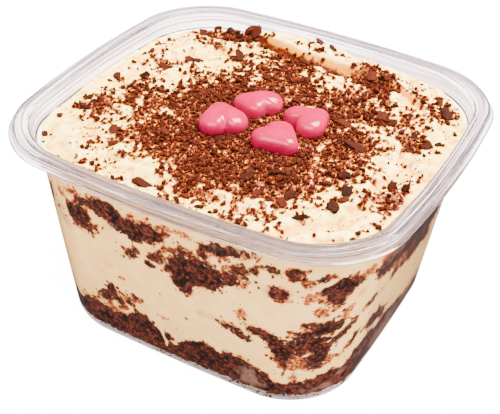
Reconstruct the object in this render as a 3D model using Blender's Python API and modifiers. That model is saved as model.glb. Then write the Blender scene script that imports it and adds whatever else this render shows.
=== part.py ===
"""Layered dessert in a clear tub: sponge and cream with four candy hearts on top.

Metres, +Z up.  The origin is the middle of the tub's foot, on the surface that it
stands on.  X runs along the tub's longer side, and -Y is its front.
"""
import math

import bpy
import numpy as np

MM = 0.001
GAP = 0.3 * MM                      # clear space between touching pieces

# Outline of every level of the tub: four corner arcs joined by four sides.
CORNER_STEPS = 10                   # points on a corner arc
SIDE_STEPS = 4                      # points on a side, between its arcs

# Tub, thermoformed from one sheet.  Each level of its inner skin is
# (height, half length, half width, corner radius, bow of the sides).
SHEET = 0.7 * MM
HEIGHT = 61.0 * MM
RIM_LENGTH = 114.0 * MM
RIM_WIDTH = 104.8 * MM
RIM_CORNER = 20.0 * MM
RIM_BOW = 0.07
FLOOR_LENGTH = 86.0 * MM
FLOOR_WIDTH = 80.2 * MM
FLOOR_CORNER = 18.6 * MM
FLOOR_BOW = 0.024
FLOOR_ROUNDING = 2.4 * MM
SHOULDER_HEIGHT = 55.6 * MM         # where the lid seat starts
SHOULDER_INSET = 6.2 * MM           # from the rim's edge to the wall below the seat
SEAT_STEP = 0.6 * MM
SEAT_RISE = 0.8 * MM
FLANGE_INSET = 4.6 * MM             # from the rim's edge to the flange's inner edge
EDGE_ROUNDING = 0.7 * MM
SKIRT_INSET = 0.9 * MM              # from the rim's edge to the flange's outer side
SKIRT_DROP = 1.7 * MM

# Levels of the food at the wall, and its swells: (x, y, rise, radius).
SPONGE_FOOT = SHEET + GAP
BASE_SPONGE_LEVEL = 12.0 * MM
BASE_SPONGE_SWELLS = (
    (-12, -40, 1.5, 9), (-3, -41, -3.5, 5), (12, -41, 1.0, 10), (33, -38, -4.5, 10),
    (46, -15, 3.0, 15), (46, 30, -3.0, 14), (0, 0, 1.0, 25),
)
MIDDLE_FOOT_LEVEL = 37.5 * MM
MIDDLE_FOOT_SWELLS = (
    (-34, -38, 1.0, 8), (-13, -43, 5.0, 9), (7, -43, -4.5, 9), (30, -40, 2.5, 9),
    (49, 22, -4.5, 20), (-45, 10, 1.5, 15),
)
MIDDLE_HEAD_LEVEL = 46.5 * MM
MIDDLE_HEAD_SWELLS = (
    (-14, -43, 4.5, 11), (8, -43, -1.5, 9), (31, -40, -1.0, 8), (49, 25, -3.5, 20),
    (-45, 20, 1.0, 15), (0, 0, 1.0, 25),
)
TOP_LEVEL = 55.2 * MM
TOP_SWELLS = (
    (0, 0, 2.2, 34), (-14, 47, 2.6, 8), (0, 44, 2.6, 8), (14, 43, 2.0, 8),
    (28, 38, 1.6, 9), (42, -16, 1.4, 9), (36, -30, 1.2, 9), (-36, 16, 0.9, 9),
    (-28, 26, -0.8, 7), (-40, -14, 0.6, 9),
)
TOP_CAP = (0.985, 0.93, 0.86, 0.76, 0.64, 0.5, 0.34, 0.17)
INNER_CAP = (0.9, 0.7, 0.4)

# Piece of sponge sunk in the lower cream, at the front corner of the wall.
SUNK_CENTRE = (35.0 * MM, -33.5 * MM, 23.5 * MM)
SUNK_RADII = (13.0 * MM, 8.0 * MM, 6.8 * MM)
SUNK_TURN = math.radians(34)
SUNK_TILT = math.radians(-10)

# Candy hearts: circles (x, y, radius) of the point and the two lobes, in mm.
HEARTS = (
    ("heart_left", (-9.2, -4.1, 2.9), (-7.6, -10.1, 4.0), (-3.55, -6.7, 4.1)),
    ("heart_back", (-6.0, 2.9, 2.7), (-1.9, 2.2, 3.2), (-0.5, 6.6, 4.4)),
    ("heart_right", (15.2, 7.3, 2.6), (9.3, 4.5, 3.4), (14.8, 2.3, 4.0)),
    ("heart_front", (14.2, -9.0, 2.7), (7.3, -9.3, 3.6), (9.4, -4.6, 3.9)),
)
HEART_THICKNESS = 4.3 * MM
HEART_RAYS = 24
TAPER_STEPS = 40
# Levels of a heart: (share of its outline, share of its thickness).
HEART_LEVELS = ((0.90, 0.0), (1.0, 0.2), (0.985, 0.5), (0.88, 0.79), (0.66, 0.94), (0.33, 0.99))


def outline_terms():
    """Corner-centre shares and arc directions of every point of an outline."""
    shares_x, shares_y, cosines, sines = [], [], [], []
    quarter = math.pi / 2
    for corner in range(4):
        start = corner * quarter
        centre = start + quarter / 2
        share = (math.copysign(1, math.cos(centre)), math.copysign(1, math.sin(centre)))
        following = (math.copysign(1, math.cos(centre + quarter)), math.copysign(1, math.sin(centre + quarter)))
        for step in range(CORNER_STEPS):
            angle = start + quarter * step / (CORNER_STEPS - 1)
            shares_x.append(share[0])
            shares_y.append(share[1])
            cosines.append(math.cos(angle))
            sines.append(math.sin(angle))
        for step in range(1, SIDE_STEPS + 1):
            part = step / (SIDE_STEPS + 1)
            shares_x.append(share[0] + (following[0] - share[0]) * part)
            shares_y.append(share[1] + (following[1] - share[1]) * part)
            cosines.append(math.cos(start + quarter))
            sines.append(math.sin(start + quarter))
    return tuple(np.array(values) for values in (shares_x, shares_y, cosines, sines))


SHARE_X, SHARE_Y, COSINE, SINE = outline_terms()
POINTS = len(SHARE_X)


def outline(half_length, half_width, corner, bow):
    """Rounded oblong whose sides bow outwards, as two rows of coordinates."""
    x = SHARE_X * (half_length - corner) + COSINE * corner
    y = SHARE_Y * (half_width - corner) + SINE * corner
    return np.array((x * (1 - bow * (y / half_width) ** 2), y * (1 - bow * (x / half_length) ** 2)))


def blend(low, high, part):
    """Value between two ends."""
    return low + (high - low) * part


def wall_outline(height, inset=0.0):
    """Inner face of the tapered wall at a height, or at one height for each point."""
    part = (height - SHEET) / (SHOULDER_HEIGHT - SHEET)
    return outline(
        blend(FLOOR_LENGTH / 2, RIM_LENGTH / 2 - SHOULDER_INSET, part) - inset,
        blend(FLOOR_WIDTH / 2, RIM_WIDTH / 2 - SHOULDER_INSET, part) - inset,
        blend(FLOOR_CORNER, RIM_CORNER, part) - inset,
        blend(FLOOR_BOW, RIM_BOW, part),
    )


def rim_outline(inset):
    """Outline that lies a distance inside the rim's outer edge."""
    return outline(RIM_LENGTH / 2 - inset, RIM_WIDTH / 2 - inset, RIM_CORNER - inset / 2, RIM_BOW)


def ring(plan, height):
    """Row of points from a plan outline and its height or heights."""
    return np.column_stack((plan[0], plan[1], np.broadcast_to(height, plan.shape[1])))


def loft(name, rings, first_cap, last_cap, mirrored=0):
    """Mesh through a stack of rings; a cap is a closing point, or None for an open end.

    The first bands, as many as mirrored says, have the other diagonal, so that the foot
    of a layer folds along the same lines as the head of the layer under it.
    """
    count = len(rings[0])
    points = np.concatenate(rings)
    faces = []
    for level in range(len(rings) - 1):
        low, high = level * count, (level + 1) * count
        for index in range(count):
            following = (index + 1) % count
            if level < mirrored:
                faces.append((low + index, low + following, high + index))
                faces.append((low + following, high + following, high + index))
            else:
                faces.append((low + index, low + following, high + following))
                faces.append((low + index, high + following, high + index))
    last = (len(rings) - 1) * count
    if first_cap is not None:
        points = np.vstack((points, first_cap))
        faces += [((index + 1) % count, index, len(points) - 1) for index in range(count)]
    if last_cap is not None:
        points = np.vstack((points, last_cap))
        faces += [(last + index, last + (index + 1) % count, len(points) - 1) for index in range(count)]
    mesh = bpy.data.meshes.new(name)
    mesh.from_pydata(points.tolist(), [], faces)
    mesh.shade_smooth()
    mesh.set_sharp_from_angle(angle=math.radians(50))
    return mesh


def make_material(name, colour, roughness, transmission=0.0):
    """Principled material."""
    material = bpy.data.materials.new(name)
    material.use_nodes = True
    shader = material.node_tree.nodes["Principled BSDF"]
    shader.inputs["Base Color"].default_value = (*colour, 1.0)
    shader.inputs["Roughness"].default_value = roughness
    shader.inputs["Metallic"].default_value = 0.0
    shader.inputs["Transmission Weight"].default_value = transmission
    material.diffuse_color = (*colour, 1.0)
    return material


def make_collection(name):
    """Collection linked to the scene."""
    collection = bpy.data.collections.new(name)
    bpy.context.scene.collection.children.link(collection)
    return collection


def add_object(name, mesh, material, collection):
    """Object of a mesh, with its material, in a collection."""
    obj = bpy.data.objects.new(name, mesh)
    mesh.materials.append(material)
    collection.objects.link(obj)
    return obj


def arc_rings(plan_at, height, radius, angles):
    """Rings round an edge: the inset and the height follow an arc."""
    return [
        ring(plan_at(radius * math.cos(angle)), height + radius * math.sin(angle))
        for angle in angles
    ]


def tub_rings():
    """Rings of the tub's inner skin, from the floor's middle to the rim's edge."""
    rings = [ring(wall_outline(SHEET, FLOOR_ROUNDING) * 0.5, SHEET)]
    for step in range(4):
        angle = math.pi / 2 * step / 3
        inset = FLOOR_ROUNDING * (1 - math.sin(angle))
        height = SHEET + FLOOR_ROUNDING * (1 - math.cos(angle))
        rings.append(ring(wall_outline(height, inset), height))
    for height in (0.35 * SHOULDER_HEIGHT, 0.7 * SHOULDER_HEIGHT, SHOULDER_HEIGHT):
        rings.append(ring(wall_outline(height), height))
    rings.append(ring(rim_outline(SHOULDER_INSET - SEAT_STEP), SHOULDER_HEIGHT + SEAT_RISE))
    flange = FLANGE_INSET + EDGE_ROUNDING / 2
    rings.append(ring(rim_outline(flange), HEIGHT - EDGE_ROUNDING))
    rings.append(ring(rim_outline(flange - EDGE_ROUNDING / 2), HEIGHT - EDGE_ROUNDING / 4))
    rings.append(ring(rim_outline(flange - EDGE_ROUNDING), HEIGHT))
    for angle in (0, 45, 90):
        turn = math.radians(angle)
        inset = SKIRT_INSET + EDGE_ROUNDING * (1 - math.sin(turn))
        rings.append(ring(rim_outline(inset), HEIGHT - EDGE_ROUNDING * (1 - math.cos(turn))))
    rings.append(ring(rim_outline(SKIRT_INSET - 0.1 * MM), HEIGHT - SKIRT_DROP))
    rings.append(ring(rim_outline(0.0), HEIGHT - SKIRT_DROP - 0.5 * MM))
    return rings


def make_tub(collection, material):
    """Tub: its inner skin, thickened outwards to the sheet's thickness."""
    mesh = loft("tub", tub_rings(), (0, 0, SHEET), None)
    mesh.flip_normals()
    tub = add_object("tub", mesh, material, collection)
    sheet = tub.modifiers.new("sheet", 'SOLIDIFY')
    sheet.thickness = SHEET
    sheet.offset = -1.0
    sheet.use_even_offset = True
    return tub


def relief(level, swells):
    """Height over the plan: a level and round swells that fade out."""
    def height(x, y):
        total = np.full(np.shape(x), level)
        for centre_x, centre_y, rise, radius in swells:
            distance = (x - centre_x * MM) ** 2 + (y - centre_y * MM) ** 2
            total = total + rise * MM * np.exp(-distance / (radius * MM) ** 2)
        return total
    return height


def edge_ring(height):
    """Ring where a relief meets the wall."""
    levels = np.full(POINTS, height(0.0, 0.0))
    for _ in range(4):
        plan = wall_outline(levels, GAP)
        levels = height(plan[0], plan[1])
    return ring(plan, levels)


def cap_rings(edge, height, shares):
    """Rings from an edge to the middle, each on the relief, with the closing point."""
    rings = []
    for share in shares:
        plan = edge[:, :2].T * share
        rings.append(ring(plan, height(plan[0], plan[1])))
    return rings, (0, 0, float(height(0.0, 0.0)))


def layer_mesh(name, foot, head, foot_shares, head_shares):
    """Layer between two reliefs, out to the wall."""
    foot_edge, head_edge = edge_ring(foot), edge_ring(head)
    foot_rings, foot_point = cap_rings(foot_edge, foot, foot_shares)
    head_rings, head_point = cap_rings(head_edge, head, head_shares)
    rings = foot_rings[::-1] + [foot_edge, head_edge] + head_rings
    return loft(name, rings, foot_point, head_point, mirrored=len(foot_rings))


def base_sponge_mesh():
    """Bottom sponge, rounded where the wall meets the floor."""
    head = relief(BASE_SPONGE_LEVEL, BASE_SPONGE_SWELLS)
    head_edge = edge_ring(head)
    head_rings, head_point = cap_rings(head_edge, head, INNER_CAP)
    foot = [ring(wall_outline(SPONGE_FOOT, FLOOR_ROUNDING) * 0.5, SPONGE_FOOT)]
    for angle in (0, 45, 90):
        turn = math.radians(angle)
        height = SPONGE_FOOT + FLOOR_ROUNDING * (1 - math.cos(turn))
        foot.append(ring(wall_outline(height, GAP + FLOOR_ROUNDING * (1 - math.sin(turn))), height))
    return loft("sponge_base", foot + [head_edge] + head_rings, (0, 0, SPONGE_FOOT), head_point)


def sunk_cutter(name, growth, collection):
    """Ellipsoid that stands for the sunk piece, or for its bed when it is grown."""
    bpy.ops.mesh.primitive_uv_sphere_add(segments=20, ring_count=12, location=SUNK_CENTRE)
    cutter = bpy.context.object
    cutter.name = name
    cutter.scale = [radius + growth for radius in SUNK_RADII]
    cutter.rotation_euler = (0, SUNK_TILT, SUNK_TURN)
    bpy.ops.object.transform_apply(location=False, rotation=False, scale=True)
    cutter.hide_render = True
    cutter.display_type = 'WIRE'
    for owner in cutter.users_collection:
        owner.objects.unlink(cutter)
    collection.objects.link(cutter)
    return cutter


def add_boolean(obj, name, operation, cutter):
    """Exact Boolean with a cutter."""
    boolean = obj.modifiers.new(name, 'BOOLEAN')
    boolean.operation = operation
    boolean.solver = 'EXACT'
    boolean.object = cutter


def make_layers(collection, cutters, sponge, cream):
    """Four layers from the floor up, and the piece of sponge sunk in the lower cream."""
    base_head = relief(BASE_SPONGE_LEVEL + GAP, BASE_SPONGE_SWELLS)
    middle_foot = relief(MIDDLE_FOOT_LEVEL, MIDDLE_FOOT_SWELLS)
    middle_head = relief(MIDDLE_HEAD_LEVEL, MIDDLE_HEAD_SWELLS)
    lower_cream_head = relief(MIDDLE_FOOT_LEVEL - GAP, MIDDLE_FOOT_SWELLS)
    upper_cream_foot = relief(MIDDLE_HEAD_LEVEL + GAP, MIDDLE_HEAD_SWELLS)
    top = relief(TOP_LEVEL, TOP_SWELLS)

    add_object("sponge_base", base_sponge_mesh(), sponge, collection)
    lower_mesh = layer_mesh("cream_lower", base_head, lower_cream_head, INNER_CAP, INNER_CAP)
    lower = add_object("cream_lower", lower_mesh, cream, collection)
    middle_mesh = layer_mesh("sponge_middle", middle_foot, middle_head, INNER_CAP, INNER_CAP)
    add_object("sponge_middle", middle_mesh, sponge, collection)
    upper_mesh = layer_mesh("cream_top", upper_cream_foot, top, INNER_CAP, TOP_CAP)
    add_object("cream_top", upper_mesh, cream, collection)

    add_boolean(lower, "sunk bed", 'DIFFERENCE', sunk_cutter("sunk_bed", GAP, cutters))
    core_mesh = layer_mesh("sunk_core", base_head, lower_cream_head, INNER_CAP, INNER_CAP)
    sunk = add_object("sponge_sunk", core_mesh, sponge, collection)
    add_boolean(sunk, "sunk shape", 'INTERSECT', sunk_cutter("sunk_shape", 0.0, cutters))


def heart_notch(lobes):
    """Crossing of the two lobe circles on the side away from the point."""
    first, second = lobes
    gap = second[:2] - first[:2]
    distance = math.hypot(*gap)
    along = (distance ** 2 + first[2] ** 2 - second[2] ** 2) / (2 * distance)
    aside = math.sqrt(first[2] ** 2 - along ** 2)
    unit = gap / distance
    return first[:2] + along * unit, aside * np.array((-unit[1], unit[0]))


def heart_outline(circles):
    """Middle of a heart, and its outline about the middle.  Each ray from the middle ends
    where it leaves the farther of two tapers, from the point's circle to a lobe's circle."""
    circles = np.array(circles)
    middle = circles[:, :2].mean(0)
    foot, aside = heart_notch(circles[1:])
    away = foot - circles[0, :2]
    notch = foot + aside if np.dot(aside, away) > 0 else foot - aside
    start = math.atan2(notch[1] - middle[1], notch[0] - middle[0])
    angles = start + np.arange(HEART_RAYS) * 2 * math.pi / HEART_RAYS
    rays = np.stack((np.cos(angles), np.sin(angles)), -1)
    reach = np.zeros(HEART_RAYS)
    part = np.linspace(0, 1, TAPER_STEPS)[:, None]
    for lobe in circles[1:]:
        taper = circles[0] * (1 - part) + lobe * part
        offset = taper[:, :2] - middle
        along = rays @ offset.T
        across = rays[:, :1] * offset[:, 1] - rays[:, 1:] * offset[:, 0]
        inside = taper[:, 2] ** 2 - across ** 2
        ends = np.where(inside > 0, along + np.sqrt(np.clip(inside, 0, None)), 0)
        reach = np.maximum(reach, ends.max(1))
    return middle * MM, (rays * reach[:, None]).T * MM


def make_hearts(collection, material):
    """Four candy hearts, each lying just clear of the cream."""
    top = relief(TOP_LEVEL, TOP_SWELLS)
    for name, *circles in HEARTS:
        middle, plan = heart_outline(circles)
        foot = float(top(plan[0] + middle[0], plan[1] + middle[1]).max()) + GAP
        rings = [
            ring(plan * share + middle[:, None], foot + HEART_THICKNESS * height)
            for share, height in HEART_LEVELS
        ]
        mesh = loft(name, rings, (*middle, foot), (*middle, foot + HEART_THICKNESS))
        add_object(name, mesh, material, collection)


def main():
    for obj in list(bpy.data.objects):
        bpy.data.objects.remove(obj, do_unlink=True)
    parts = make_collection("layered_dessert_tub")
    cutters = make_collection("cutters")
    clear = make_material("clear_tub_plastic", (0.86, 0.85, 0.87), 0.06, 0.95)
    sponge = make_material("chocolate_sponge", (0.065, 0.018, 0.010), 0.9)
    cream = make_material("cream_cheese_filling", (0.86, 0.74, 0.58), 0.55)
    candy = make_material("pink_candy", (0.85, 0.12, 0.22), 0.25)
    make_tub(parts, clear)
    make_layers(parts, cutters, sponge, cream)
    make_hearts(parts, candy)


main()
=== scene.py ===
"""Looks of a layered cream dessert in a clear tub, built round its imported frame."""
import math

import bpy
import numpy as np
from mathutils import Matrix, Vector


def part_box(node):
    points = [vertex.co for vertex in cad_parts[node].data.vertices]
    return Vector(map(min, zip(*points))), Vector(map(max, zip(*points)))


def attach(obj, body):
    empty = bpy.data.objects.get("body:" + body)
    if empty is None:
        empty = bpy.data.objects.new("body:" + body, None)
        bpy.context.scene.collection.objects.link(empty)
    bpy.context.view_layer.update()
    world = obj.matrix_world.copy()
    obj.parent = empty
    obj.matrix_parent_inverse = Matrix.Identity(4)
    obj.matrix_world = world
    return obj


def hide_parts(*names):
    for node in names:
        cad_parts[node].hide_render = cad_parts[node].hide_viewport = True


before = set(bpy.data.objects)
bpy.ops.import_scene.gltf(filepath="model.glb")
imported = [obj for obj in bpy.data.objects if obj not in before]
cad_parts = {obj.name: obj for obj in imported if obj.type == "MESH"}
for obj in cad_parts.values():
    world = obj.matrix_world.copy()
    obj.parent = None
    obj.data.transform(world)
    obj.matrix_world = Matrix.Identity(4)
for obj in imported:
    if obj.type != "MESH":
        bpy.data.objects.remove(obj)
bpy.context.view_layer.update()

bl_info = {
    "name": "Layered Dessert Tub",
    "version": (1, 0, 0),
    "blender": (4, 5, 0),
    "location": "3D View > Sidebar > Dessert",
    "description": "Builds the tub, the layers, the topping and the stage round the packed frame",
    "category": "Add Mesh",
}

MM = 0.001
TUB_LOW, TUB_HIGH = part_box("tub")
RIM_LENGTH = TUB_HIGH.x - TUB_LOW.x
RIM_WIDTH = TUB_HIGH.y - TUB_LOW.y
HEIGHT = TUB_HIGH.z

# Tub: the same sheet, levels and corners as its CAD solid.
SHEET = 0.7 * MM
RIM_CORNER = 20.0 * MM
RIM_BOW = 0.07
FLOOR_LENGTH = 86.0 * MM
FLOOR_WIDTH = 80.2 * MM
FLOOR_CORNER = 18.6 * MM
FLOOR_BOW = 0.024
FLOOR_ROUNDING = 2.4 * MM
SHOULDER_HEIGHT = 55.6 * MM
SHOULDER_INSET = 6.2 * MM
# Rim of the inner skin as (distance in from the rim's edge, drop below the top), in mm.
RIM_PROFILE = (
    (6.2, 5.4), (6.15, 5), (5.65, 4.75), (5.5, 4.3), (5.3, 2.4), (5.1, 0.75), (4.85, 0.2), (4.4, 0),
    (3.9, 0.06), (2.4, 0.12), (2, 0), (1.45, 0), (1.1, 0.28), (1, 0.75), (1.02, 1.05), (0.9, 1.3),
    (0.85, 1.62), (0.55, 1.95), (0.12, 2.1), (0, 2.3),
)

# Outline of the wall halfway up.  The way round it starts at the middle of the front and
# runs towards +X; WAY_STEPS is the way round at each end of a side or a corner, in mm.
MEAN_HALF_LENGTH = 47.3
MEAN_HALF_WIDTH = 43.6
MEAN_CORNER = 19.3
CORNER_WAY = math.pi / 2 * MEAN_CORNER
LONG_WAY = 2 * (MEAN_HALF_LENGTH - MEAN_CORNER)
SHORT_WAY = 2 * (MEAN_HALF_WIDTH - MEAN_CORNER)
WAY_STEPS = np.cumsum((0.0, LONG_WAY / 2, CORNER_WAY, SHORT_WAY, CORNER_WAY, LONG_WAY,
                       CORNER_WAY, SHORT_WAY, CORNER_WAY, LONG_WAY / 2))
WAY_ROUND = WAY_STEPS[-1]
LINE_START = -41                        # way round where the lines at the wall start

# Food, in mm.  Its foot edge is rounded more than the tub's, so clear sheet shows under it.
FOOD_FOOT = 1.15
FOOD_ROUNDING = 4.4
CREAM_OUTSET = 0.2                      # how far the cream reaches into the sheet
CREAM_LAP = 0.8                         # how far the two creams overlap behind the sponge
LOWER_FOOT = 1.2                        # foot of the lower cream
CREEP = 0.35                            # how far the top cream climbs the wall
EDGE_OUTSET = 0.25                      # how far its edge reaches into the sheet
FAR_FROM_SPONGE = 9                     # how far the top counts as lying from any sponge

# Top of the cream: level at the wall and round swells (x, y, rise, radius), in mm.
TOP_LEVEL = 55.2
TOP_HALF = 40.0
TOP_SWELLS = (
    (0, 0, 2.2, 34), (-14, 47, 2.6, 8), (0, 44, 2.6, 8), (14, 43, 2, 8), (28, 38, 1.6, 9),
    (42, -16, 1.4, 9), (36, -30, 1.2, 9), (-36, 16, 0.9, 9), (-28, 26, -0.8, 7), (-40, -14, 0.6, 9),
    (-48, -43, -1.4, 12),
)
# Strokes of the spreading knife: (x, y, direction in degrees, half length, half width, bend, depth).
KNIFE_STROKES = (
    (-34, 24, 58, 13, 4.5, 0.02, 0.9), (-42, 6, 75, 12, 4, 0.01, 0.5), (-25, 34, 20, 12, 4, -0.02, 0.7),
    (-30, -30, -35, 13, 4.5, 0.012, 0.5), (-8, -37, 4, 15, 3.6, 0.006, 0.5),
    (16, -35, 8, 12, 4, 0.01, 0.6), (33, -33, 42, 11, 3.6, 0.02, 0.9), (41, -22, 62, 10, 3.2, 0.015, 1),
    (42, -6, 80, 9, 3.4, 0.012, 0.8), (40, 9, 100, 10, 3.6, 0.01, 0.8),
    (36, 24, 130, 10, 3.6, 0.01, 0.6), (12, 36, 172, 14, 3.2, 0.006, 0.5),
    (-20, 14, 150, 12, 3.6, 0.012, 0.5), (22, -24, 30, 12, 4.2, 0.01, 0.4),
)
# Rolled fold of cream along the back: its crest runs over these points (x, y, rise, half width).
FOLD_CREST = (
    (-25, 44.6, 0.9, 1.8), (-20, 43.2, 1.4, 2.2), (-14, 41.2, 1.8, 2.6), (-4, 39.2, 1.8, 2.6),
    (6, 39, 1.5, 2.5), (16, 39.2, 1.1, 2.2), (26, 37.2, 0.9, 2), (35, 32.6, 0.8, 1.8),
    (41, 26, 0.8, 1.8),
)

# Sponge at the wall, as patches: (way round, height, half length, half height, tilt), in mm
# and degrees.
MIDDLE_PATCHES = (
    (-27.6, 43.2, 3.5, 3, 30), (-26.4, 40.3, 2.8, 1.3, 10), (-24.4, 39.3, 1.2, 1.2, 0),
    (-19, 48.9, 4.8, 2.6, -10), (-22.8, 48.7, 3.3, 1.7, 15), (-14, 46.5, 4.4, 2.7, -20),
    (-9.4, 45.7, 3.5, 3, 0), (-4.4, 47.1, 3.9, 2.4, 0), (6, 38.5, 6.2, 4.3, 5),
    (11.6, 39.2, 5.3, 3.7, 20), (8.6, 41.2, 3.2, 2.5, 0), (-3, 39.4, 2.5, 1.5, 10),
    (18.4, 41, 4, 1.2, 15), (4.2, 33.8, 2.8, 1.9, -30), (5.6, 31.9, 1.7, 1, 0),
    (15.4, 49.9, 2, 1.7, -20), (19.4, 51, 3.8, 1.4, 8), (46.6, 43.8, 3.1, 3, 20),
    (45.8, 40, 1.4, 2.3, 0), (49.4, 44.4, 1.6, 1.2, 0), (66.4, 42.8, 3.6, 2.1, -15),
    (62.4, 41.3, 4.2, 2.1, -5), (70.6, 41.2, 5, 2.3, -20), (77, 39.3, 5.2, 2.5, -22),
    (84.6, 38.4, 5.6, 3.3, -28), (92.4, 36.9, 5.2, 2.7, -20), (98.6, 35.8, 3.4, 1.8, -25),
    (81.6, 32.8, 3.8, 1.8, -25), (87, 33.6, 4.2, 1.8, -35), (93.4, 31.6, 4.2, 1.8, -35),
    (70, 33.8, 1.8, 1, -20), (75.4, 33.2, 1.5, 0.9, -20), (58.6, 43.6, 1.6, 1.2, 0),
)
SUNK_PATCHES = (
    (26.8, 26.3, 2.8, 1.3, -15), (29.8, 25.7, 2, 1.3, -15), (32.6, 23.6, 2.8, 1.6, -35),
    (34.4, 21.2, 2.4, 2.3, -40), (38, 22.9, 3.2, 2.3, 0), (40.8, 24.6, 3.5, 2.7, 20),
    (43, 29.3, 3.8, 2, 15), (39.4, 28, 3, 1.7, 5), (46.4, 30.2, 1.4, 1.1, 30),
    (43.6, 21.6, 2.1, 2.3, -30), (34, 19.3, 1.7, 1.6, 0), (41.7, 18, 0.9, 1.9, -10),
    (35.2, 16.6, 0.7, 1.3, 0), (43.4, 18.4, 1.1, 1.3, 0),
)
LOOSE_PATCHES = (
    (-22.8, 16.9, 3.4, 1.5, 22), (-20.9, 19, 1.8, 2, 20), (-19.2, 17, 1.7, 1.5, 0),
    (-15.2, 18, 0.9, 0.7, 0), (-11.8, 20.5, 0.8, 0.6, 0), (-18.4, 14.9, 0.9, 0.6, 0),
    (20.6, 24, 2.4, 0.9, -12), (23, 22.8, 1, 0.6, 0), (18.4, 24.3, 0.8, 0.5, 0),
    (31.4, 42, 2.2, 1.7, -20), (29.6, 49.2, 1.1, 0.6, 0), (34.8, 49.2, 1.6, 1.1, 0),
    (41, 47.1, 1.4, 0.7, 15), (42.4, 43.2, 0.9, 1, 0), (43.6, 41, 1.1, 1.5, 0),
    (20.4, 45.2, 1.4, 0.8, 10), (22.2, 46.6, 0.8, 0.5, 0), (24.4, 47.1, 0.6, 0.5, 0),
    (18.6, 43, 1.5, 0.7, 0), (21.8, 43.6, 0.8, 0.6, 0), (12.4, 43.7, 0.9, 0.5, 0),
    (5.3, 45, 0.9, 0.5, 0), (1.8, 43.8, 1.1, 0.6, 0), (-5.4, 36.4, 0.9, 0.6, 0),
    (-11.6, 36.8, 1.2, 0.7, 0), (-10.4, 38.3, 1.1, 0.5, 20), (-2, 10.4, 0.8, 0.9, 0),
    (12, 49.2, 0.9, 0.7, 0), (11, 46.4, 0.8, 1, 30), (39, 31, 0.9, 0.7, 0), (57, 33, 1.8, 0.9, 15),
    (64, 21.4, 5, 1.7, -12), (69.6, 19.4, 2.3, 1.1, -50), (48.4, 25.8, 3, 0.5, 48),
    (52.6, 21.2, 1.8, 0.5, 55), (42.6, 14.8, 1.2, 0.6, 0), (120, 28, 3, 2, 15),
    (150, 22, 2.6, 1.6, -20), (185, 26, 3.2, 2.2, 10), (215, 20, 2.4, 1.6, 0), (247, 27, 3, 2, 25),
    (268, 22, 2.4, 1.5, -15),
)
# Head and foot of the bottom sponge, and the line where the two creams meet behind the middle
# sponge, as (way round, height) in mm.
BASE_HEAD = (
    (-41, 9.5), (-35, 9.6), (-33, 12), (-30, 13), (-28, 12.6), (-26, 11.2), (-22, 10.8), (-20, 12),
    (-17, 11.9), (-15, 13.7), (-12, 14.9), (-10, 14.7), (-8, 13.3), (-6, 11.8), (-4.4, 9.8),
    (-3.3, 4.2), (-2, 8.2), (0, 7.7), (2, 9), (4, 11), (7, 12.4), (10, 13.2), (13, 13), (15.6, 11.8),
    (17, 13.2), (19, 14), (22, 13.6), (25, 13), (28, 12.3), (30, 11.4), (33, 8.4), (35, 7.7), (38, 8),
    (41, 9), (44, 10.2), (46, 11.2), (48, 12.4), (51, 10.6), (53, 12.8), (56, 15.6), (60, 16.8),
    (63, 16.4), (66, 15), (69, 13.6), (72.6, 15.8), (76, 14.6), (82, 12), (86, 11.8), (90, 10.8),
    (94, 9), (98, 8.2), (101, 8.8), (106, 7.4), (120, 11), (140, 13), (160, 10), (180, 12.6), (200, 9),
    (220, 13), (240, 11), (260, 13.4), (270, 11),
)
BASE_FOOT = (
    (-41, 1.2), (-30, 1.3), (-20, 1.7), (-10, 2.2), (-5, 2.8), (0, 3.3), (10, 3.1), (20, 3.3), (25, 4),
    (27.5, 5.4), (30, 4.2), (33, 2.7), (36, 2.7), (40, 3.3), (44, 4), (48, 4.8), (52, 4.4), (60, 2.6),
    (100, 1.6), (140, 1.6), (200, 1.8), (260, 1.5),
)
MIDDLE_LINE = (
    (-41, 43), (-27, 43.5), (-14, 47.5), (4, 39), (12, 40), (22, 44), (31, 42.5), (46, 43), (62, 43),
    (78, 40), (94, 37), (120, 42), (160, 44), (200, 41), (240, 44), (270, 43),
)

# Candy hearts: circles (x, y, radius) of the point and the two lobes, in mm.
HEARTS = {
    "heart_left": ((-9.2, -4.1, 2.9), (-7.6, -10.1, 4.0), (-3.55, -6.7, 4.1)),
    "heart_back": ((-6.0, 2.9, 2.7), (-1.9, 2.2, 3.2), (-0.5, 6.6, 4.4)),
    "heart_right": ((15.2, 7.3, 2.6), (9.3, 4.5, 3.4), (14.8, 2.3, 4.0)),
    "heart_front": ((14.2, -9.0, 2.7), (7.3, -9.3, 3.6), (9.4, -4.6, 3.9)),
}
HEART_THICKNESS = 4.2
HEART_SINK = 0.5
# Profile of a heart: (share of its outline, share of its thickness).
HEART_PROFILE = (
    (0.8, 0), (0.93, 0.02), (0.985, 0.1), (1, 0.24), (0.994, 0.42), (0.97, 0.56), (0.92, 0.68),
    (0.84, 0.78), (0.72, 0.87), (0.55, 0.935), (0.37, 0.97), (0.18, 0.99), (0.05, 1),
)

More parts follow.
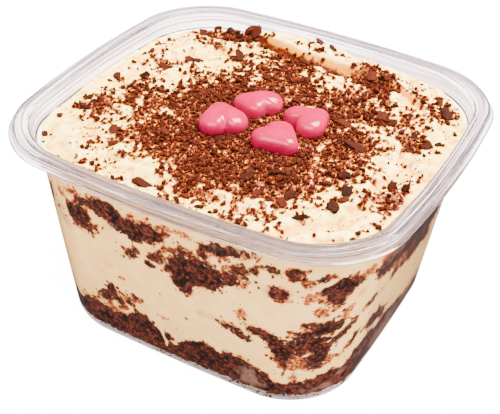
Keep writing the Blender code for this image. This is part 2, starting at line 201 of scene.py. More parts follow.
# Cocoa stains in the cream at the wall, as patches.
STAINS = (
    (-13, 20.4, 3, 1.7, -8), (-3.2, 17.4, 2.4, 1.2, 20), (34.6, 49.6, 2.8, 2, -10),
    (38.6, 41, 2.2, 2.8, 0), (41.8, 36, 2.2, 3.4, 10), (37.6, 46, 1.6, 2.4, 0), (38, 17, 5, 2.6, 0),
    (2, 51, 7, 1.6, 0), (-29.6, 50.4, 4, 2, 0), (-32.4, 47.6, 2, 3, 40), (12, 47.6, 2.4, 1.8, 0),
    (-22.4, 13, 3, 1.4, 0), (53, 46, 4, 2.6, -20), (60, 46.4, 5, 2, -20), (74, 36, 9, 2.6, -22),
    (90, 33, 9, 3, -22), (22, 31.4, 1.6, 2.2, 0), (-8.2, 26, 1, 0.7, 0), (-16, 26, 2, 1, 20),
    (6.4, 45.4, 3.4, 1.6, 0), (-11, 50.6, 3.4, 0.9, 0), (45, 17.6, 3, 3, 20), (48.6, 33.4, 2, 3, -20),
    (37.8, 11.4, 1.4, 2.2, 0), (-38, 46.6, 3, 1.6, 30), (140, 44, 12, 4, 0), (200, 40, 14, 4, 0),
    (255, 46, 12, 4, 0),
)
# Greyish veils at the wall, as patches: sponge seen through thin cream, and painted shade under the rim and
# along the sponge's edges.
VEILS_AND_SHADES = (
    (-33.6, 38, 3.8, 2.4, -18), (-35.6, 42, 2.4, 1.8, 0), (9.4, 25.3, 1.5, 0.9, 0),
    (12.9, 25.4, 1.2, 0.9, 0), (-17.2, 43.8, 2.8, 1.2, -25), (31.4, 41.8, 3.4, 2.6, 0),
    (-20.6, 29.2, 1.5, 1, 0), (64.6, 32.6, 3.2, 1.7, 0), (56.8, 33.2, 2.6, 1.6, 0),
    (42.2, 42.4, 2.2, 2.6, 0), (25.6, 7.2, 4.6, 3.8, 0), (52, 39.6, 1.4, 1.8, 0),
    (50.4, 10, 1.6, 2, 10), (22.4, 23.6, 2.6, 1.2, 0), (64, 21.2, 6, 2.4, -12), (58, 12, 3, 1.6, 0),
    (18.6, 51.4, 3, 1, 8), (44, 6, 5, 1.6, 8), (-26.4, 13.6, 1.2, 0.9, 0), (78, 7, 13, 5, 0),
    (100, 9, 12, 4, 0), (72, 46, 13, 5, 0),
)

# Where the grated chocolate lies thick: (x, y, radius, share), in mm.
TOPPING_DRIFTS = (
    (0, -8, 30, 0.3), (4, 20, 26, 0.16), (3, -19, 12, 0.45), (-15, -17, 8, 0.4), (18, -14, 8, 0.35),
    (9, -27, 7, 0.35), (-6, -26, 6, 0.35), (0, -34, 4, 0.35), (16, -34, 5, 0.12), (-17, 5, 6, 0.55),
    (-15, -3, 5, 0.35), (-11, 13, 6, 0.35), (-8, 31, 5, 0.45), (1, 37, 5, 0.35), (-9, 38, 4, 0.25),
    (0, 21, 6, 0.4), (12, 20, 7, 0.3), (16, 14, 5, 0.3), (17, 38, 5, 0.4), (24, 37, 4, 0.35),
    (24, 5, 7, 0.35), (28, 21, 7, 0.32), (33, 2, 6, 0.25), (40, 14, 4, 0.3), (41, 31, 4, 0.3),
    (18, 30, 5, 0.25), (-33, 40, 5, 0.55), (-26, 43, 5, 0.55), (-39, 38, 4, 0.3), (-24, 31, 4, 0.3),
    (-33, 21, 4, 0.22), (-40, 13, 4, 0.15), (-25, 0, 6, 0.2), (-34, -3, 6, 0.28), (-41, -13, 6, 0.28),
    (-27, -12, 6, 0.1), (-25, -21, 6, 0.2), (28, -10, 6, 0.22), (24, -25, 6, 0.22), (49, -12, 4, 0.5),
    (47, -15, 4, 0.45), (45, -21, 3, 0.4), (48, -5, 3, 0.3), (-40, -20, 5, 0.14), (33, 33, 8, 0.08),
    (0, 3, 9, 0.4),
)
# Where little of it lies: (x, y, radius), in mm.
TOPPING_CLEARINGS = (
    (-40, 26, 7), (-30, 28, 5), (-25, 22, 5), (-32, 9, 6), (41, -26, 8), (34, -36, 8), (-16, -35, 6),
    (41, 3, 5), (-14, 43, 4), (-6, 41, 3.5), (2, 40, 3.5), (9, 41, 3), (24, 41, 4), (-40, -32, 8),
    (8, 31, 5), (43, 22, 3), (-44, 4, 5), (31, 31, 4), (27, -33, 3), (-33, -13, 3), (-24, 37, 3),
    (33, 12, 4), (9, 11, 4), (-10, -39, 6), (8, -41, 5),
)
# Larger shavings: (x, y, length, breadth, direction in degrees, tilt in degrees).
SHAVINGS = (
    (-27, 45.6, 5.2, 4.4, 20, 25), (-24.4, 43.6, 3.8, 2.6, 80, 35), (-33, 43.2, 3.2, 2.2, 150, 10),
    (-29.6, 41.6, 2.6, 1.9, 10, 20), (-38, 43, 2.4, 1.8, 40, 10), (-40.2, 38.4, 2.8, 2, 110, 10),
    (-22.4, 29.4, 4.4, 2.1, 125, 15), (-25, 30.8, 2, 1.4, 30, 0), (-34.5, 21, 3.2, 2.2, 150, 10),
    (-31.4, 19.8, 2.8, 1.8, 20, 5), (-38.4, 13, 3.2, 2, 160, 10), (-35.8, 12.2, 2.2, 1.5, 10, 5),
    (-39, 4, 2.8, 2.4, 60, 10), (-46.4, 1, 2.6, 1.8, 120, 10), (-46.4, 19, 2.4, 1.5, 100, 10),
    (-4, 46.6, 3.6, 2, 160, 15), (1, 44.4, 2.8, 1.6, 150, 15), (-6.6, 45.8, 2, 1.4, 30, 10),
    (17, 37.4, 3.8, 2.6, 110, 20), (19.4, 36.4, 3.2, 2.4, 30, 10), (22, 38.2, 2.8, 1.8, 60, 10),
    (42.2, 31.4, 4.6, 2.6, 130, 15), (38.2, 37.2, 2.8, 1.6, 110, 15), (37.2, 39.4, 2, 1.4, 60, 10),
    (43.4, 13.6, 3.2, 2.4, 40, 10), (40, 11, 2.4, 1.6, 130, 10), (30.8, 19.6, 3.4, 2.6, 20, 10),
    (27.8, 20.2, 3.4, 2.6, 100, 10), (38.2, 18, 2.4, 1.8, 100, 10), (27.8, 2.6, 5.8, 2.2, 176, 12),
    (45.6, 16.6, 1.8, 1.2, 60, 10), (43.8, -10.4, 3.2, 2, 100, 50), (46.6, -8.6, 2.8, 1.6, 60, 40),
    (35, -17.6, 3.2, 2.2, 110, 15), (35.6, -20.8, 2.6, 2, 40, 5), (35.2, -25.8, 3.8, 2.4, 130, 10),
    (29.6, -31.8, 3.6, 1.3, 25, 10), (23, -24.4, 3.6, 2.4, 70, 15), (23, -28.8, 2.8, 2, 150, 5),
    (31.2, -11, 3.2, 2.4, 20, 10), (16, -28.2, 2.6, 2, 80, 10), (-29.8, -24, 2.8, 2, 120, 10),
    (-27, -28.2, 2.6, 1.9, 30, 5), (-33.2, -30, 2, 1.5, 70, 5), (-10, -39.8, 4.8, 2.2, 175, 10),
    (6.2, -39.4, 2.2, 1.5, 10, 5), (1, -31.2, 2, 1.4, 80, 5), (-45.6, -13.2, 2.2, 1.6, 100, 5),
    (-46, -32.6, 2.2, 1.6, 130, 10), (-43, -18.4, 2.6, 1.8, 10, 5), (-23, -5.4, 2.6, 2, 40, 5),
    (11, -25, 3.2, 2.4, 60, 10), (-3.6, -13, 3, 2.4, 30, 5), (20.6, 11.4, 3.4, 2.4, 170, 10),
    (10.4, -22, 2.6, 2.2, 140, 5), (-20, 4, 2.8, 2, 50, 5), (0.8, 27, 2.8, 2.2, 30, 5),
    (-8.6, 22, 2.6, 2, 60, 5), (15.6, -18.8, 3, 2.2, 20, 5), (-18, -17.4, 2.6, 2, 150, 5),
)
TOPPING_INSET = 6.6                     # from the rim's edge to where topping may lie, in mm
SINK = 0.35                             # share of its radius that a crumb sinks into the cream

# Soft boxes: name, way round and angle up in degrees, distance and sides in metres, watts.
SOFTBOXES = (("overhead", 140, 64, 0.9, (0.5, 0.45), 74), ("strip", 8, 57, 0.95, (0.95, 0.6), 32))
LAMP_COLOUR = (1.0, 0.86, 0.70)
ROOM_COLOUR = (0.93, 0.93, 1.0)
FLOOR_GLOW = 0.88                       # light that the stage's floor gives of itself
FLOOR_HALF = 3.0                        # half a side of the stage's floor, in metres


def hex_colour(code):
    """Linear colour of an sRGB hex code."""
    parts = [int(code[place:place + 2], 16) / 255 for place in (1, 3, 5)]
    return tuple(part / 12.92 if part <= 0.04045 else ((part + 0.055) / 1.055) ** 2.4 for part in parts)


def colour_property(name, description, code):
    """Colour setting that starts at an sRGB hex code."""
    return bpy.props.FloatVectorProperty(
        name=name, description=description, default=hex_colour(code), subtype='COLOR', size=3,
        min=0.0, max=1.0)


def length_property(name, description, length):
    """Length setting that starts at a length in metres."""
    return bpy.props.FloatProperty(
        name=name, description=description, default=length, unit='LENGTH', min=0.0, precision=5)


def angle_property(name, description, degrees):
    """Angle setting that starts at an angle in degrees."""
    return bpy.props.FloatProperty(
        name=name, description=description, default=math.radians(degrees), unit='ROTATION')


def number_property(name, description, value, low=0.0):
    """Setting that is a plain number, with a low end."""
    return bpy.props.FloatProperty(name=name, description=description, default=value, min=low)


def count_property(name, description, count):
    """Setting that is a number of pieces."""
    return bpy.props.IntProperty(name=name, description=description, default=count, min=0)


class TubSettings(bpy.types.PropertyGroup):
    """Sizes and colours of the tub."""

    sheet: length_property("Sheet", "Thickness of the formed sheet", SHEET)
    tint: colour_property("Tint", "Colour that the clear sheet gives to light", "#F8F6F9")
    tint_rim: colour_property("Rim tint", "Colour of the stretched sheet at the rim", "#DED8E2")
    # Painted shade: the sheet darkens to this where it is seen edge-on.
    tint_edge_shade: colour_property("Edge tint", "Colour of the sheet seen along itself", "#988782")
    # Painted shade and painted reflection of the sponge round the tub's foot.
    tint_foot_shade: colour_property("Foot tint", "Colour of the drawn sheet at the foot", "#6C5C58")
    # Also the rim's painted shade where it is seen edge-on.
    tint_rim_lines_and_edge_shade: colour_property("Fold tint", "Colour along the rim's folds", "#968A98")


class FoodSettings(bpy.types.PropertyGroup):
    """Colours of the layers and the topping, and how much topping there is."""

    cream: colour_property("Cream", "Top of the cream", "#F6D26C")
    # Painted highlight on the knife's ridges and painted shade in its hollows; the warm colour also comes
    # in random patches.
    cream_ridge_highlight: colour_property("Cream ridge", "Ridges that the knife left", "#FFEA9A")
    cream_warm_and_hollow_shade: colour_property("Cream in hollows", "Cream between knife strokes", "#C8841E")
    cream_wall: colour_property("Cream at the wall", "Cream pressed against the sheet", "#CEA862")
    cream_wall_pale: colour_property("Pale cream at the wall", "Lighter clouds in it", "#D4B474")
    cream_dusted: colour_property("Dusted cream", "Cream under much cocoa", "#EAB478")
    stain: colour_property("Stain", "Cream that a little cocoa has bled into", "#924000")
    # Also paints the shadow in the crease under the rolled fold, with the stain colour.
    dark_stain_and_shadow: colour_property("Dark stain", "Cream soaked with cocoa", "#501A06")
    # Also painted shade under the rim and along the sponge's edges.
    veil: colour_property("Veil", "Sponge seen through a little cream", "#745A52")
    # Painted shade in the sponge's pores.
    sponge_pore_shade: colour_property("Sponge pore", "Pores of the sponge", "#0A0302")
    sponge: colour_property("Sponge", "Chocolate sponge", "#28100A")
    # Painted light on the sponge's raised crumb.
    sponge_lit_crumb: colour_property("Sponge crumb", "Lit crumb of the sponge", "#5C2C1E")
    chocolate: colour_property("Chocolate", "Grated chocolate", "#4C1A0D")
    chocolate_dark: colour_property("Chocolate edge", "Shaded grated chocolate", "#140502")
    candy: colour_property("Candy", "Pearl coating of the hearts", "#920038")
    candy_light: colour_property("Candy cloud", "Paler clouds in the coating", "#9E0042")
    dust_count: count_property("Dust", "Number of dust grains", 12500)
    crumb_count: count_property("Crumbs", "Number of crumbs", 6600)
    wall_crumb_count: count_property("Wall crumbs", "Number of crumbs at the wall", 5000)


class StageSettings(bpy.types.PropertyGroup):
    """Floor, lights and camera."""

    floor: colour_property("Floor", "Pale floor", "#FFFFFF")
    floor_cloud: colour_property("Floor clouds", "Faint clouds in the floor", "#F4F2F0")
    azimuth: angle_property("Azimuth", "Camera's way round from the front", 27.96)
    elevation: angle_property("Elevation", "Camera's angle above the floor", 40.5)
    roll: angle_property("Roll", "Camera's turn about its own axis", 2.24)
    distance: length_property("Distance", "From the camera to the middle of the foot", 317.5 * MM)
    aim_rise: number_property("Aim up", "Aim above the middle of the foot, per distance", 0.0714)
    aim_side: number_property("Aim right", "Aim right of the middle, per distance", -0.003, -1.0)
    lens: number_property("Lens", "Focal length in millimetres", 75.8)
    room_light: number_property("Room light", "Light that the room gives", 0.12)
    room_seen: number_property("Background", "Brightness of the backdrop", 14.0)
    room_through: number_property("Background through sheet", "Backdrop's brightness behind the sheet", 3.7)


# ---------------------------------------------------------------- shapes

def blend(low, high, part):
    """Value between two ends."""
    return low + (high - low) * part


def smooth_step(low, high, value):
    """0 at low, 1 at high and 3t^2 - 2t^3 between; low may be the greater one."""
    part = np.clip((value - low) / (high - low), 0, 1)
    return part * part * (3 - 2 * part)


def cell_code(cell, seed):
    """Whole number for each cell of a cubic lattice, unlike its neighbours' numbers."""
    return cell[..., 0] * 73856093 ^ cell[..., 1] * 19349663 ^ cell[..., 2] * 83492791 ^ seed * 7919


def stirred(code):
    """Next whole number of a hash, whose middle 16 bits are spread evenly."""
    return (code ^ code >> 13) * 1274126177 & 0x7FFFFFFF


def noise(points, size, seed):
    """Smooth noise in -1..1: each corner of a cubic lattice of that size has a hashed
    value, and a point takes their mix with weights 3t^2 - 2t^3 along each axis."""
    scaled = points / size
    base = np.floor(scaled).astype(np.int64)
    part = scaled - base
    part = part * part * (3 - 2 * part)
    total = np.zeros(points.shape[:-1])
    for corner in range(8):
        step = np.array((corner & 1, corner >> 1 & 1, corner >> 2))
        value = (stirred(cell_code(base + step, seed)) >> 8 & 0xFFFF) / 32767.5 - 1
        total += np.where(step, part, 1 - part).prod(-1) * value
    return total


def layered_noise(points, size, seed, layers=3):
    """Noise at halving sizes and halving strengths, scaled to about -1..1."""
    total = sum(noise(points, size / 2 ** layer, seed + layer) / 2 ** layer for layer in range(layers))
    return total / (2 - 2 ** (1 - layers))


def flat_place(x, y):
    """Points at height 0 over plan places."""
    return np.stack(np.broadcast_arrays(x, y, 0.0), -1)


def outline(way, half_length, half_width, corner, bow):
    """Plan point at a way round.  Corner arcs and sides follow each other; each side bows
    out by a parabola."""
    way = np.mod(way, WAY_ROUND)
    share_x = np.interp(way, WAY_STEPS, (0, 1, 1, 1, 1, -1, -1, -1, -1, 0))
    share_y = np.interp(way, WAY_STEPS, (-1, -1, -1, 1, 1, 1, 1, -1, -1, -1))
    angle = np.radians(np.interp(way, WAY_STEPS, (-90, -90, 0, 0, 90, 90, 180, 180, 270, 270)))
    x = share_x * (half_length - corner) + np.cos(angle) * corner
    y = share_y * (half_width - corner) + np.sin(angle) * corner
    return x * (1 - bow * (y / half_width) ** 2), y * (1 - bow * (x / half_length) ** 2)


def wall_point(way, height, outset, sheet=SHEET):
    """Point at the wall's inner face, or a distance out of it into the sheet, in metres.
    The outline's sizes go straight from the floor's to the shoulder's."""
    part = (height - sheet) / (SHOULDER_HEIGHT - sheet)
    x, y = outline(
        way,
        blend(FLOOR_LENGTH / 2, RIM_LENGTH / 2 - SHOULDER_INSET, part) + outset,
        blend(FLOOR_WIDTH / 2, RIM_WIDTH / 2 - SHOULDER_INSET, part) + outset,
        blend(FLOOR_CORNER, RIM_CORNER, part) + outset,
        blend(FLOOR_BOW, RIM_BOW, part),
    )
    return np.stack(np.broadcast_arrays(x, y, height), -1)


def at_wall(way, height, outset=0.0):
    """Point at the wall in metres, from a height and an outset in mm."""
    return wall_point(way, height * MM, outset * MM)


def line_height(way, line):
    """Height of a line at the wall that closes on itself, straight between its points."""
    wrapped = np.mod(way - LINE_START, WAY_ROUND) + LINE_START
    ways, heights = np.array(line + ((WAY_ROUND + LINE_START, line[0][1]),)).T
    return np.interp(wrapped, ways, heights)


def patch_depth(way, height, patches):
    """How far inside the nearest of some elliptic patches a place is, in mm; less than 0
    is outside.  Each ellipse's depth is its smaller half axis times 1 - its radius share."""
    depth = np.full(np.broadcast(way, height).shape, -50.0)
    for centre, level, half_length, half_height, tilt in patches:
        along = np.mod(way - centre + WAY_ROUND / 2, WAY_ROUND) - WAY_ROUND / 2
        up = height - level
        turn = math.radians(tilt)
        u = (along * math.cos(turn) + up * math.sin(turn)) / half_length
        v = (up * math.cos(turn) - along * math.sin(turn)) / half_height
        depth = np.maximum(depth, (1 - np.sqrt(u * u + v * v)) * min(half_length, half_height))
    return depth


def hidden_patches(seed, low, high, count):
    """Patches for the sides away from the front: even steps round, with random heights,
    sizes and tilts."""
    source = np.random.default_rng(seed)
    ways = np.linspace(106, 282, count) + source.uniform(-3, 3, count)
    heights = source.uniform(low, high, count)
    lengths = source.uniform(4, 9, count)
    breadths = source.uniform(1.8, 4.4, count)
    tilts = source.uniform(-25, 25, count)
    return tuple(zip(ways, heights, lengths, breadths, tilts))


def fold_at(x):
    """Crest of the rolled fold at x: its y, rise and half width."""
    crest = np.array(FOLD_CREST, float).T
    return [np.interp(x, crest[0], row) for row in crest[1:]]


def cream_height(x, y):
    """Height of the cream's top in mm over a plan point in mm: a level, round swells that
    fade as exp(-r^2), knife strokes, the rolled fold and a fine unevenness."""
    height = np.full(np.shape(x), TOP_LEVEL)
    for centre_x, centre_y, rise, radius in TOP_SWELLS:
        height = height + rise * np.exp(-((x - centre_x) ** 2 + (y - centre_y) ** 2) / radius ** 2)
    place = flat_place(x, y)
    wander = noise(place, 7.0, 11) * 1.2
    # A stroke is a trough between two lips of cream, with fine comb lines along it.
    for centre_x, centre_y, direction, half_length, half_width, bend, depth in KNIFE_STROKES:
        turn = math.radians(direction)
        along = (x - centre_x) * math.cos(turn) + (y - centre_y) * math.sin(turn)
        across = (y - centre_y) * math.cos(turn) - (x - centre_x) * math.sin(turn)
        across = (across + bend * along ** 2 + 0.3 * wander) / half_width
        fade = np.exp(-(along / half_length) ** 4)
        trough = -np.exp(-(across * 1.3) ** 2)
        lips = 0.75 * np.exp(-((across - 1.05) / 0.32) ** 2) + 0.45 * np.exp(-((across + 1.05) / 0.4) ** 2)
        combed = 0.30 * (0.5 - np.abs(np.sin(across * 4.5 + wander))) * np.exp(-(across / 1.4) ** 2)
        height = height + 1.3 * depth * fade * (trough + lips + combed)
    # The fold rises as a parabola at its front, falls away as exp(-t^2) behind, and has a
    # groove along its foot.
    crest_y, crest_rise, breadth = fold_at(x)
    rise = crest_rise * smooth_step(-28, -22, x) * smooth_step(46, 38, x)
    across = (y - (crest_y + 0.35 * wander)) / breadth
    front = (1 - np.clip(-across, 0, 1) ** 2) * (across < 0)
    behind = np.exp(-(across * 0.75) ** 2) * (across >= 0)
    groove = 0.45 * rise * np.exp(-((across + 1.15) / 0.22) ** 2)
    height = height + rise * (front + behind) - groove
    # Soft folds: noise bent by noise, whose zero lines become ridges.
    bent = place + 4.0 * np.stack([noise(place, 11.0, seed) for seed in (22, 23, 24)], -1)
    ridged = 1 - np.abs(layered_noise(bent, 7.0, 21, 2)) * 2.6
    return height + 0.5 * np.clip(ridged, -0.6, 1) + 0.14 * layered_noise(place, 2.4, 31)


def cream_height_blurred(x, y, reach=1.8):
    """Mean of the cream's height at eight points a reach around, in mm."""
    total = 0
    for angle in np.arange(8) * math.pi / 4:
        total = total + cream_height(x + reach * math.cos(angle), y + reach * math.sin(angle)) / 8
    return total


def fold_shade(x, y):
    """Painted shadow, with some cocoa, in the crease under the rolled fold, and how far a point is on the
    fold's front, which gets painted shade."""
    crest_y, _, breadth = fold_at(x)
    foot = y - crest_y + breadth * 1.02
    ends = smooth_step(-25, -20, x)
    crease = 2.2 * ends * np.exp(-((foot + 0.3) / 0.5) ** 2) * smooth_step(12, 5, x)
    # Painted shade on the fold's front.
    front = ends * smooth_step(-0.2, 0.3, foot) * smooth_step(2.9, 1.4, foot) * smooth_step(42, 30, x)
    return crease, front


def topping_share(x, y):
    """How thick the grated chocolate lies at a plan point, 0 to 1: a little everywhere, round
    drifts added, round clearings and the fold taken out, and noise."""
    share = np.full(np.shape(x), 0.07)
    for centre_x, centre_y, radius, strength in TOPPING_DRIFTS:
        share = share + strength * np.exp(-((x - centre_x) ** 2 + (y - centre_y) ** 2) / radius ** 2)
    for centre_x, centre_y, radius in TOPPING_CLEARINGS:
        share = share * (1 - 0.85 * np.exp(-((x - centre_x) ** 2 + (y - centre_y) ** 2) / radius ** 2))
    off_fold = (y - fold_at(x)[0] + 0.6) / 2.6
    share = share * (1 - 0.85 * np.exp(-off_fold ** 2) * smooth_step(-22, -18, x) * smooth_step(13, 8, x))
    share = share * (1 + 0.9 * layered_noise(flat_place(x, y), 4.5, 41))
    return np.clip(share, 0, 1)


# ---------------------------------------------------------------- meshes

def build_mesh(name, points, quads=None, triangles=None, smooth=True):
    """Mesh from arrays of points and of the corner numbers of its quads and triangles."""
    quads = np.empty((0, 4), int) if quads is None else quads
    triangles = np.empty((0, 3), int) if triangles is None else triangles
    corners = np.concatenate((quads.ravel(), triangles.ravel()))
    starts = np.concatenate((np.arange(len(quads)) * 4, len(quads) * 4 + np.arange(len(triangles)) * 3))
    mesh = bpy.data.meshes.new(name)
    mesh.vertices.add(len(points))
    mesh.vertices.foreach_set("co", np.ascontiguousarray(points, np.float32).ravel())
    mesh.loops.add(len(corners))
    mesh.loops.foreach_set("vertex_index", corners.astype(np.int32))
    mesh.polygons.add(len(starts))
    mesh.polygons.foreach_set("loop_start", starts.astype(np.int32))
    mesh.update(calc_edges=True)
    if smooth:
        mesh.shade_smooth()
    else:
        mesh.shade_flat()
    return mesh


def padded(values, count):
    """Row of numbers, followed by zeros up to a count."""
    return np.append(values.ravel(), np.zeros(count - values.size))


def add_values(mesh, **values):
    """Numbers at each vertex, for the materials; vertices past the last number get 0."""
    for name, numbers in values.items():
        layer = mesh.attributes.new(name, 'FLOAT', 'POINT')
        layer.data.foreach_set("value", padded(numbers, len(mesh.vertices)).astype(np.float32))


def add_piece(name, mesh, material, replaced=()):
    """Object of the root body that takes a slot and stands for CAD nodes."""
    piece = bpy.data.objects.new(name, mesh)
    bpy.context.scene.collection.objects.link(piece)
    mesh.materials.append(material)
    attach(piece, "root")
    if replaced:
        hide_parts(*replaced)
    return piece


def grid_faces(numbers):
    """Quads between neighbours of a grid of point numbers."""
    corners = (numbers[:-1, :-1], numbers[:-1, 1:], numbers[1:, 1:], numbers[1:, :-1])
    return np.stack(corners, -1).reshape(-1, 4)


def ring_faces(rows, columns):
    """Quads between rings of points, numbered row by row; each ring closes on itself.  Rings
    that run towards +X at the front and climb give faces that point outwards."""
    numbers = np.arange(rows * columns).reshape(rows, columns)
    return grid_faces(np.append(numbers, numbers[:, :1], 1))


def fan_faces(first, columns, tip, upwards):
    """Triangles from a closed ring to a tip, facing up or down."""
    start = first + np.arange(columns)
    following = first + (np.arange(columns) + 1) % columns
    tips = np.full(columns, tip)
    return np.stack((start, following, tips) if upwards else (following, start, tips), -1)


def closed_stack(name, rings, foot, head):
    """Closed mesh through rings, an array of rows by columns of points, shut by a foot and
    a head point."""
    rows, columns = rings.shape[:2]
    points = np.concatenate((rings.reshape(-1, 3), [foot, head]))
    triangles = np.concatenate((
        fan_faces(0, columns, rows * columns, False),
        fan_faces((rows - 1) * columns, columns, rows * columns + 1, True),
    ))
    return build_mesh(name, points, ring_faces(rows, columns), triangles)


def pillow(front, back):
    """Points and quads of a closed pillow: two grids that share their outermost points."""
    rows, columns = front.shape[:2]
    numbers = np.arange(rows * columns).reshape(rows, columns)
    inner = numbers.copy()
    inner[1:-1, 1:-1] = rows * columns + np.arange((rows - 2) * (columns - 2)).reshape(rows - 2, -1)
    points = np.concatenate((front.reshape(-1, 3), back[1:-1, 1:-1].reshape(-1, 3)))
    return points, np.concatenate((grid_faces(numbers), grid_faces(inner)[:, (0, 3, 2, 1)]))


def lump_shape(divisions):
    """Points and triangles of a unit ball made of an icosahedron whose triangles are
    divided and pushed out to the ball."""
    golden = (1 + math.sqrt(5)) / 2
    points = np.array([
        (-1, golden, 0), (1, golden, 0), (-1, -golden, 0), (1, -golden, 0), (0, -1, golden),
        (0, 1, golden), (0, -1, -golden), (0, 1, -golden), (golden, 0, -1), (golden, 0, 1),
        (-golden, 0, -1), (-golden, 0, 1)])
    triangles = np.array([
        (0, 11, 5), (0, 5, 1), (0, 1, 7), (0, 7, 10), (0, 10, 11), (1, 5, 9), (5, 11, 4), (11, 10, 2),
        (10, 7, 6), (7, 1, 8), (3, 9, 4), (3, 4, 2), (3, 2, 6), (3, 6, 8), (3, 8, 9), (4, 9, 5),
        (2, 4, 11), (6, 2, 10), (8, 6, 7), (9, 8, 1)])
    points = points / np.linalg.norm(points, axis=1, keepdims=True)
    for _ in range(divisions):
        edges = np.concatenate([triangles[:, pair] for pair in ((0, 1), (1, 2), (2, 0))])
        unique, place = np.unique(np.sort(edges, axis=1), axis=0, return_inverse=True)
        middle = points[unique].mean(1)
        place = place.reshape(3, -1).T + len(points)
        points = np.concatenate((points, middle / np.linalg.norm(middle, axis=1, keepdims=True)))
        a, b, c = triangles.T
        ab, bc, ca = place.T
        triangles = np.concatenate([np.stack(corner, -1) for corner in (
            (a, ab, ca), (b, bc, ab), (c, ca, bc), (ab, bc, ca))])
    return points, triangles


def grain_shape():
    """Points and triangles of a unit octahedron, for the finest grains."""
    points = np.array([(1, 0, 0), (-1, 0, 0), (0, 1, 0), (0, -1, 0), (0, 0, 1), (0, 0, -1)], float)
    triangles = np.array([
        (0, 2, 4), (2, 1, 4), (1, 3, 4), (3, 0, 4), (2, 0, 5), (1, 2, 5), (3, 1, 5), (0, 3, 5)])
    return points, triangles


def random_turns(source, count):
    """Rotation matrices spread evenly over all directions, from unit quaternions."""
    w, x, y, z = source.normal(size=(4, count))
    norm = np.sqrt(w * w + x * x + y * y + z * z)
    w, x, y, z = w / norm, x / norm, y / norm, z / norm
    return np.stack((
        1 - 2 * (y * y + z * z), 2 * (x * y - w * z), 2 * (x * z + w * y),
        2 * (x * y + w * z), 1 - 2 * (x * x + z * z), 2 * (y * z - w * x),
        2 * (x * z - w * y), 2 * (y * z + w * x), 1 - 2 * (x * x + y * y)), -1).reshape(count, 3, 3)


def turned(turns, lumps):
    """Each lump's points turned by its own matrix."""
    return np.einsum("nij,nkj->nki", turns, lumps)


def joined_lumps(name, lumps, triangles, shade):
    """One mesh of many lumps that share their triangles, flat between sharp edges."""
    count, corners = lumps.shape[:2]
    numbers = triangles[None] + (np.arange(count) * corners)[:, None, None]
    mesh = build_mesh(name, lumps.reshape(-1, 3), None, numbers.reshape(-1, 3), smooth=False)
    add_values(mesh, shade=shade)
    return mesh


def scatter_mesh(name, source, centres, radii, flatness, shape, lightness=0.0):
    """Joined mesh of one lump per centre: a shape, roughened point by point, flattened along
    its own axis, turned and put in place."""
    base, triangles = shape
    count = len(centres)
    rough = 1 + source.uniform(-0.28, 0.28, (count, len(base), 1))
    ranges = ((0.75, 1.35), (0.7, 1.1), flatness)
    stretch = np.stack([source.uniform(low, high, count) for low, high in ranges], -1)
    lumps = base[None] * rough * stretch[:, None, :] * radii[:, None, None]
    lumps = turned(random_turns(source, count), lumps)
    # Each lump has its own random tone, with painted shade underneath and painted light on top.
    raised = lumps[..., 2] / radii[:, None]
    shade = lightness + 0.65 * source.uniform(0, 1, count)[:, None] + 0.75 * raised
    return joined_lumps(name, lumps + centres[:, None, :], triangles, shade)


# ---------------------------------------------------------------- materials

def add_node(tree, kind, values=None, **settings):
    """Node with its settings; values go to its inputs by name or number, and a value that
    is an output of another node is linked."""
    made = tree.nodes.new(kind)
    for name, value in settings.items():
        setattr(made, name, value)
    for key, value in (values or {}).items():
        if isinstance(value, bpy.types.NodeSocket):
            tree.links.new(value, made.inputs[key])
        else:
            made.inputs[key].default_value = value
    return made


def new_material(name, patterns=(), held=()):
    """Material with its tree and its output, and the sockets of what it reads by name: object
    coordinates as "place", noise patterns given as (name, feature size in metres, detail,
    roughness), and numbers that the mesh holds at each vertex."""
    material = bpy.data.materials.new(name)
    material.use_nodes = True
    tree = material.node_tree
    tree.nodes.clear()
    output = add_node(tree, "ShaderNodeOutputMaterial").inputs["Surface"]
    read = {"place": add_node(tree, "ShaderNodeTexCoord").outputs["Object"]}
    for key, size, detail, roughness in patterns:
        values = {"Vector": read["place"], "Scale": 1 / size, "Detail": detail, "Roughness": roughness}
        read[key] = add_node(tree, "ShaderNodeTexNoise", values).outputs[0]
    for key in held:
        read[key] = add_node(tree, "ShaderNodeAttribute", attribute_name=key).outputs["Fac"]
    return material, tree, output, read


def lay_coats(tree, under, coats):
    """Colour with coats laid over it in turn.  A coat is (value, span, colour): it covers by
    the value itself, or by 3t^2 - 2t^3 over a span (low, high) of the value, from none to
    all or between the two shares that follow in the span."""
    for value, reach, over in coats:
        if reach:
            low, high, least, most = (*reach, 0.0, 1.0)[:4]
            value = add_node(tree, "ShaderNodeMapRange", {
                "Value": value, "From Min": low, "From Max": high, "To Min": least, "To Max": most},
                interpolation_type='SMOOTHSTEP').outputs[0]
        tones = [tone if isinstance(tone, bpy.types.NodeSocket) else (*tone, 1) for tone in (under, over)]
        values = {0: value, 6: tones[0], 7: tones[1]}
        under = add_node(tree, "ShaderNodeMix", values, data_type='RGBA').outputs[2]
    return under


def surface(tree, colour, relief, finish):
    """Shaded surface with a colour, a relief given as (height, strength, depth in mm) and a
    finish given as values of the shader's own sockets."""
    height, strength, depth = relief
    bump = {"Height": height, "Strength": strength, "Distance": depth * MM}
    normal = add_node(tree, "ShaderNodeBump", bump).outputs[0]
    values = {"Base Color": colour, "Normal": normal, **finish}
    return add_node(tree, "ShaderNodeBsdfPrincipled", values).outputs[0]


def wall_ripple(tree, place):
    """Slow waves of a drawn wall, about 9 mm long."""
    values = {"Vector": place, "Scale": 1 / (9 * MM), "Detail": 2.0}
    return add_node(tree, "ShaderNodeTexNoise", values).outputs[0]


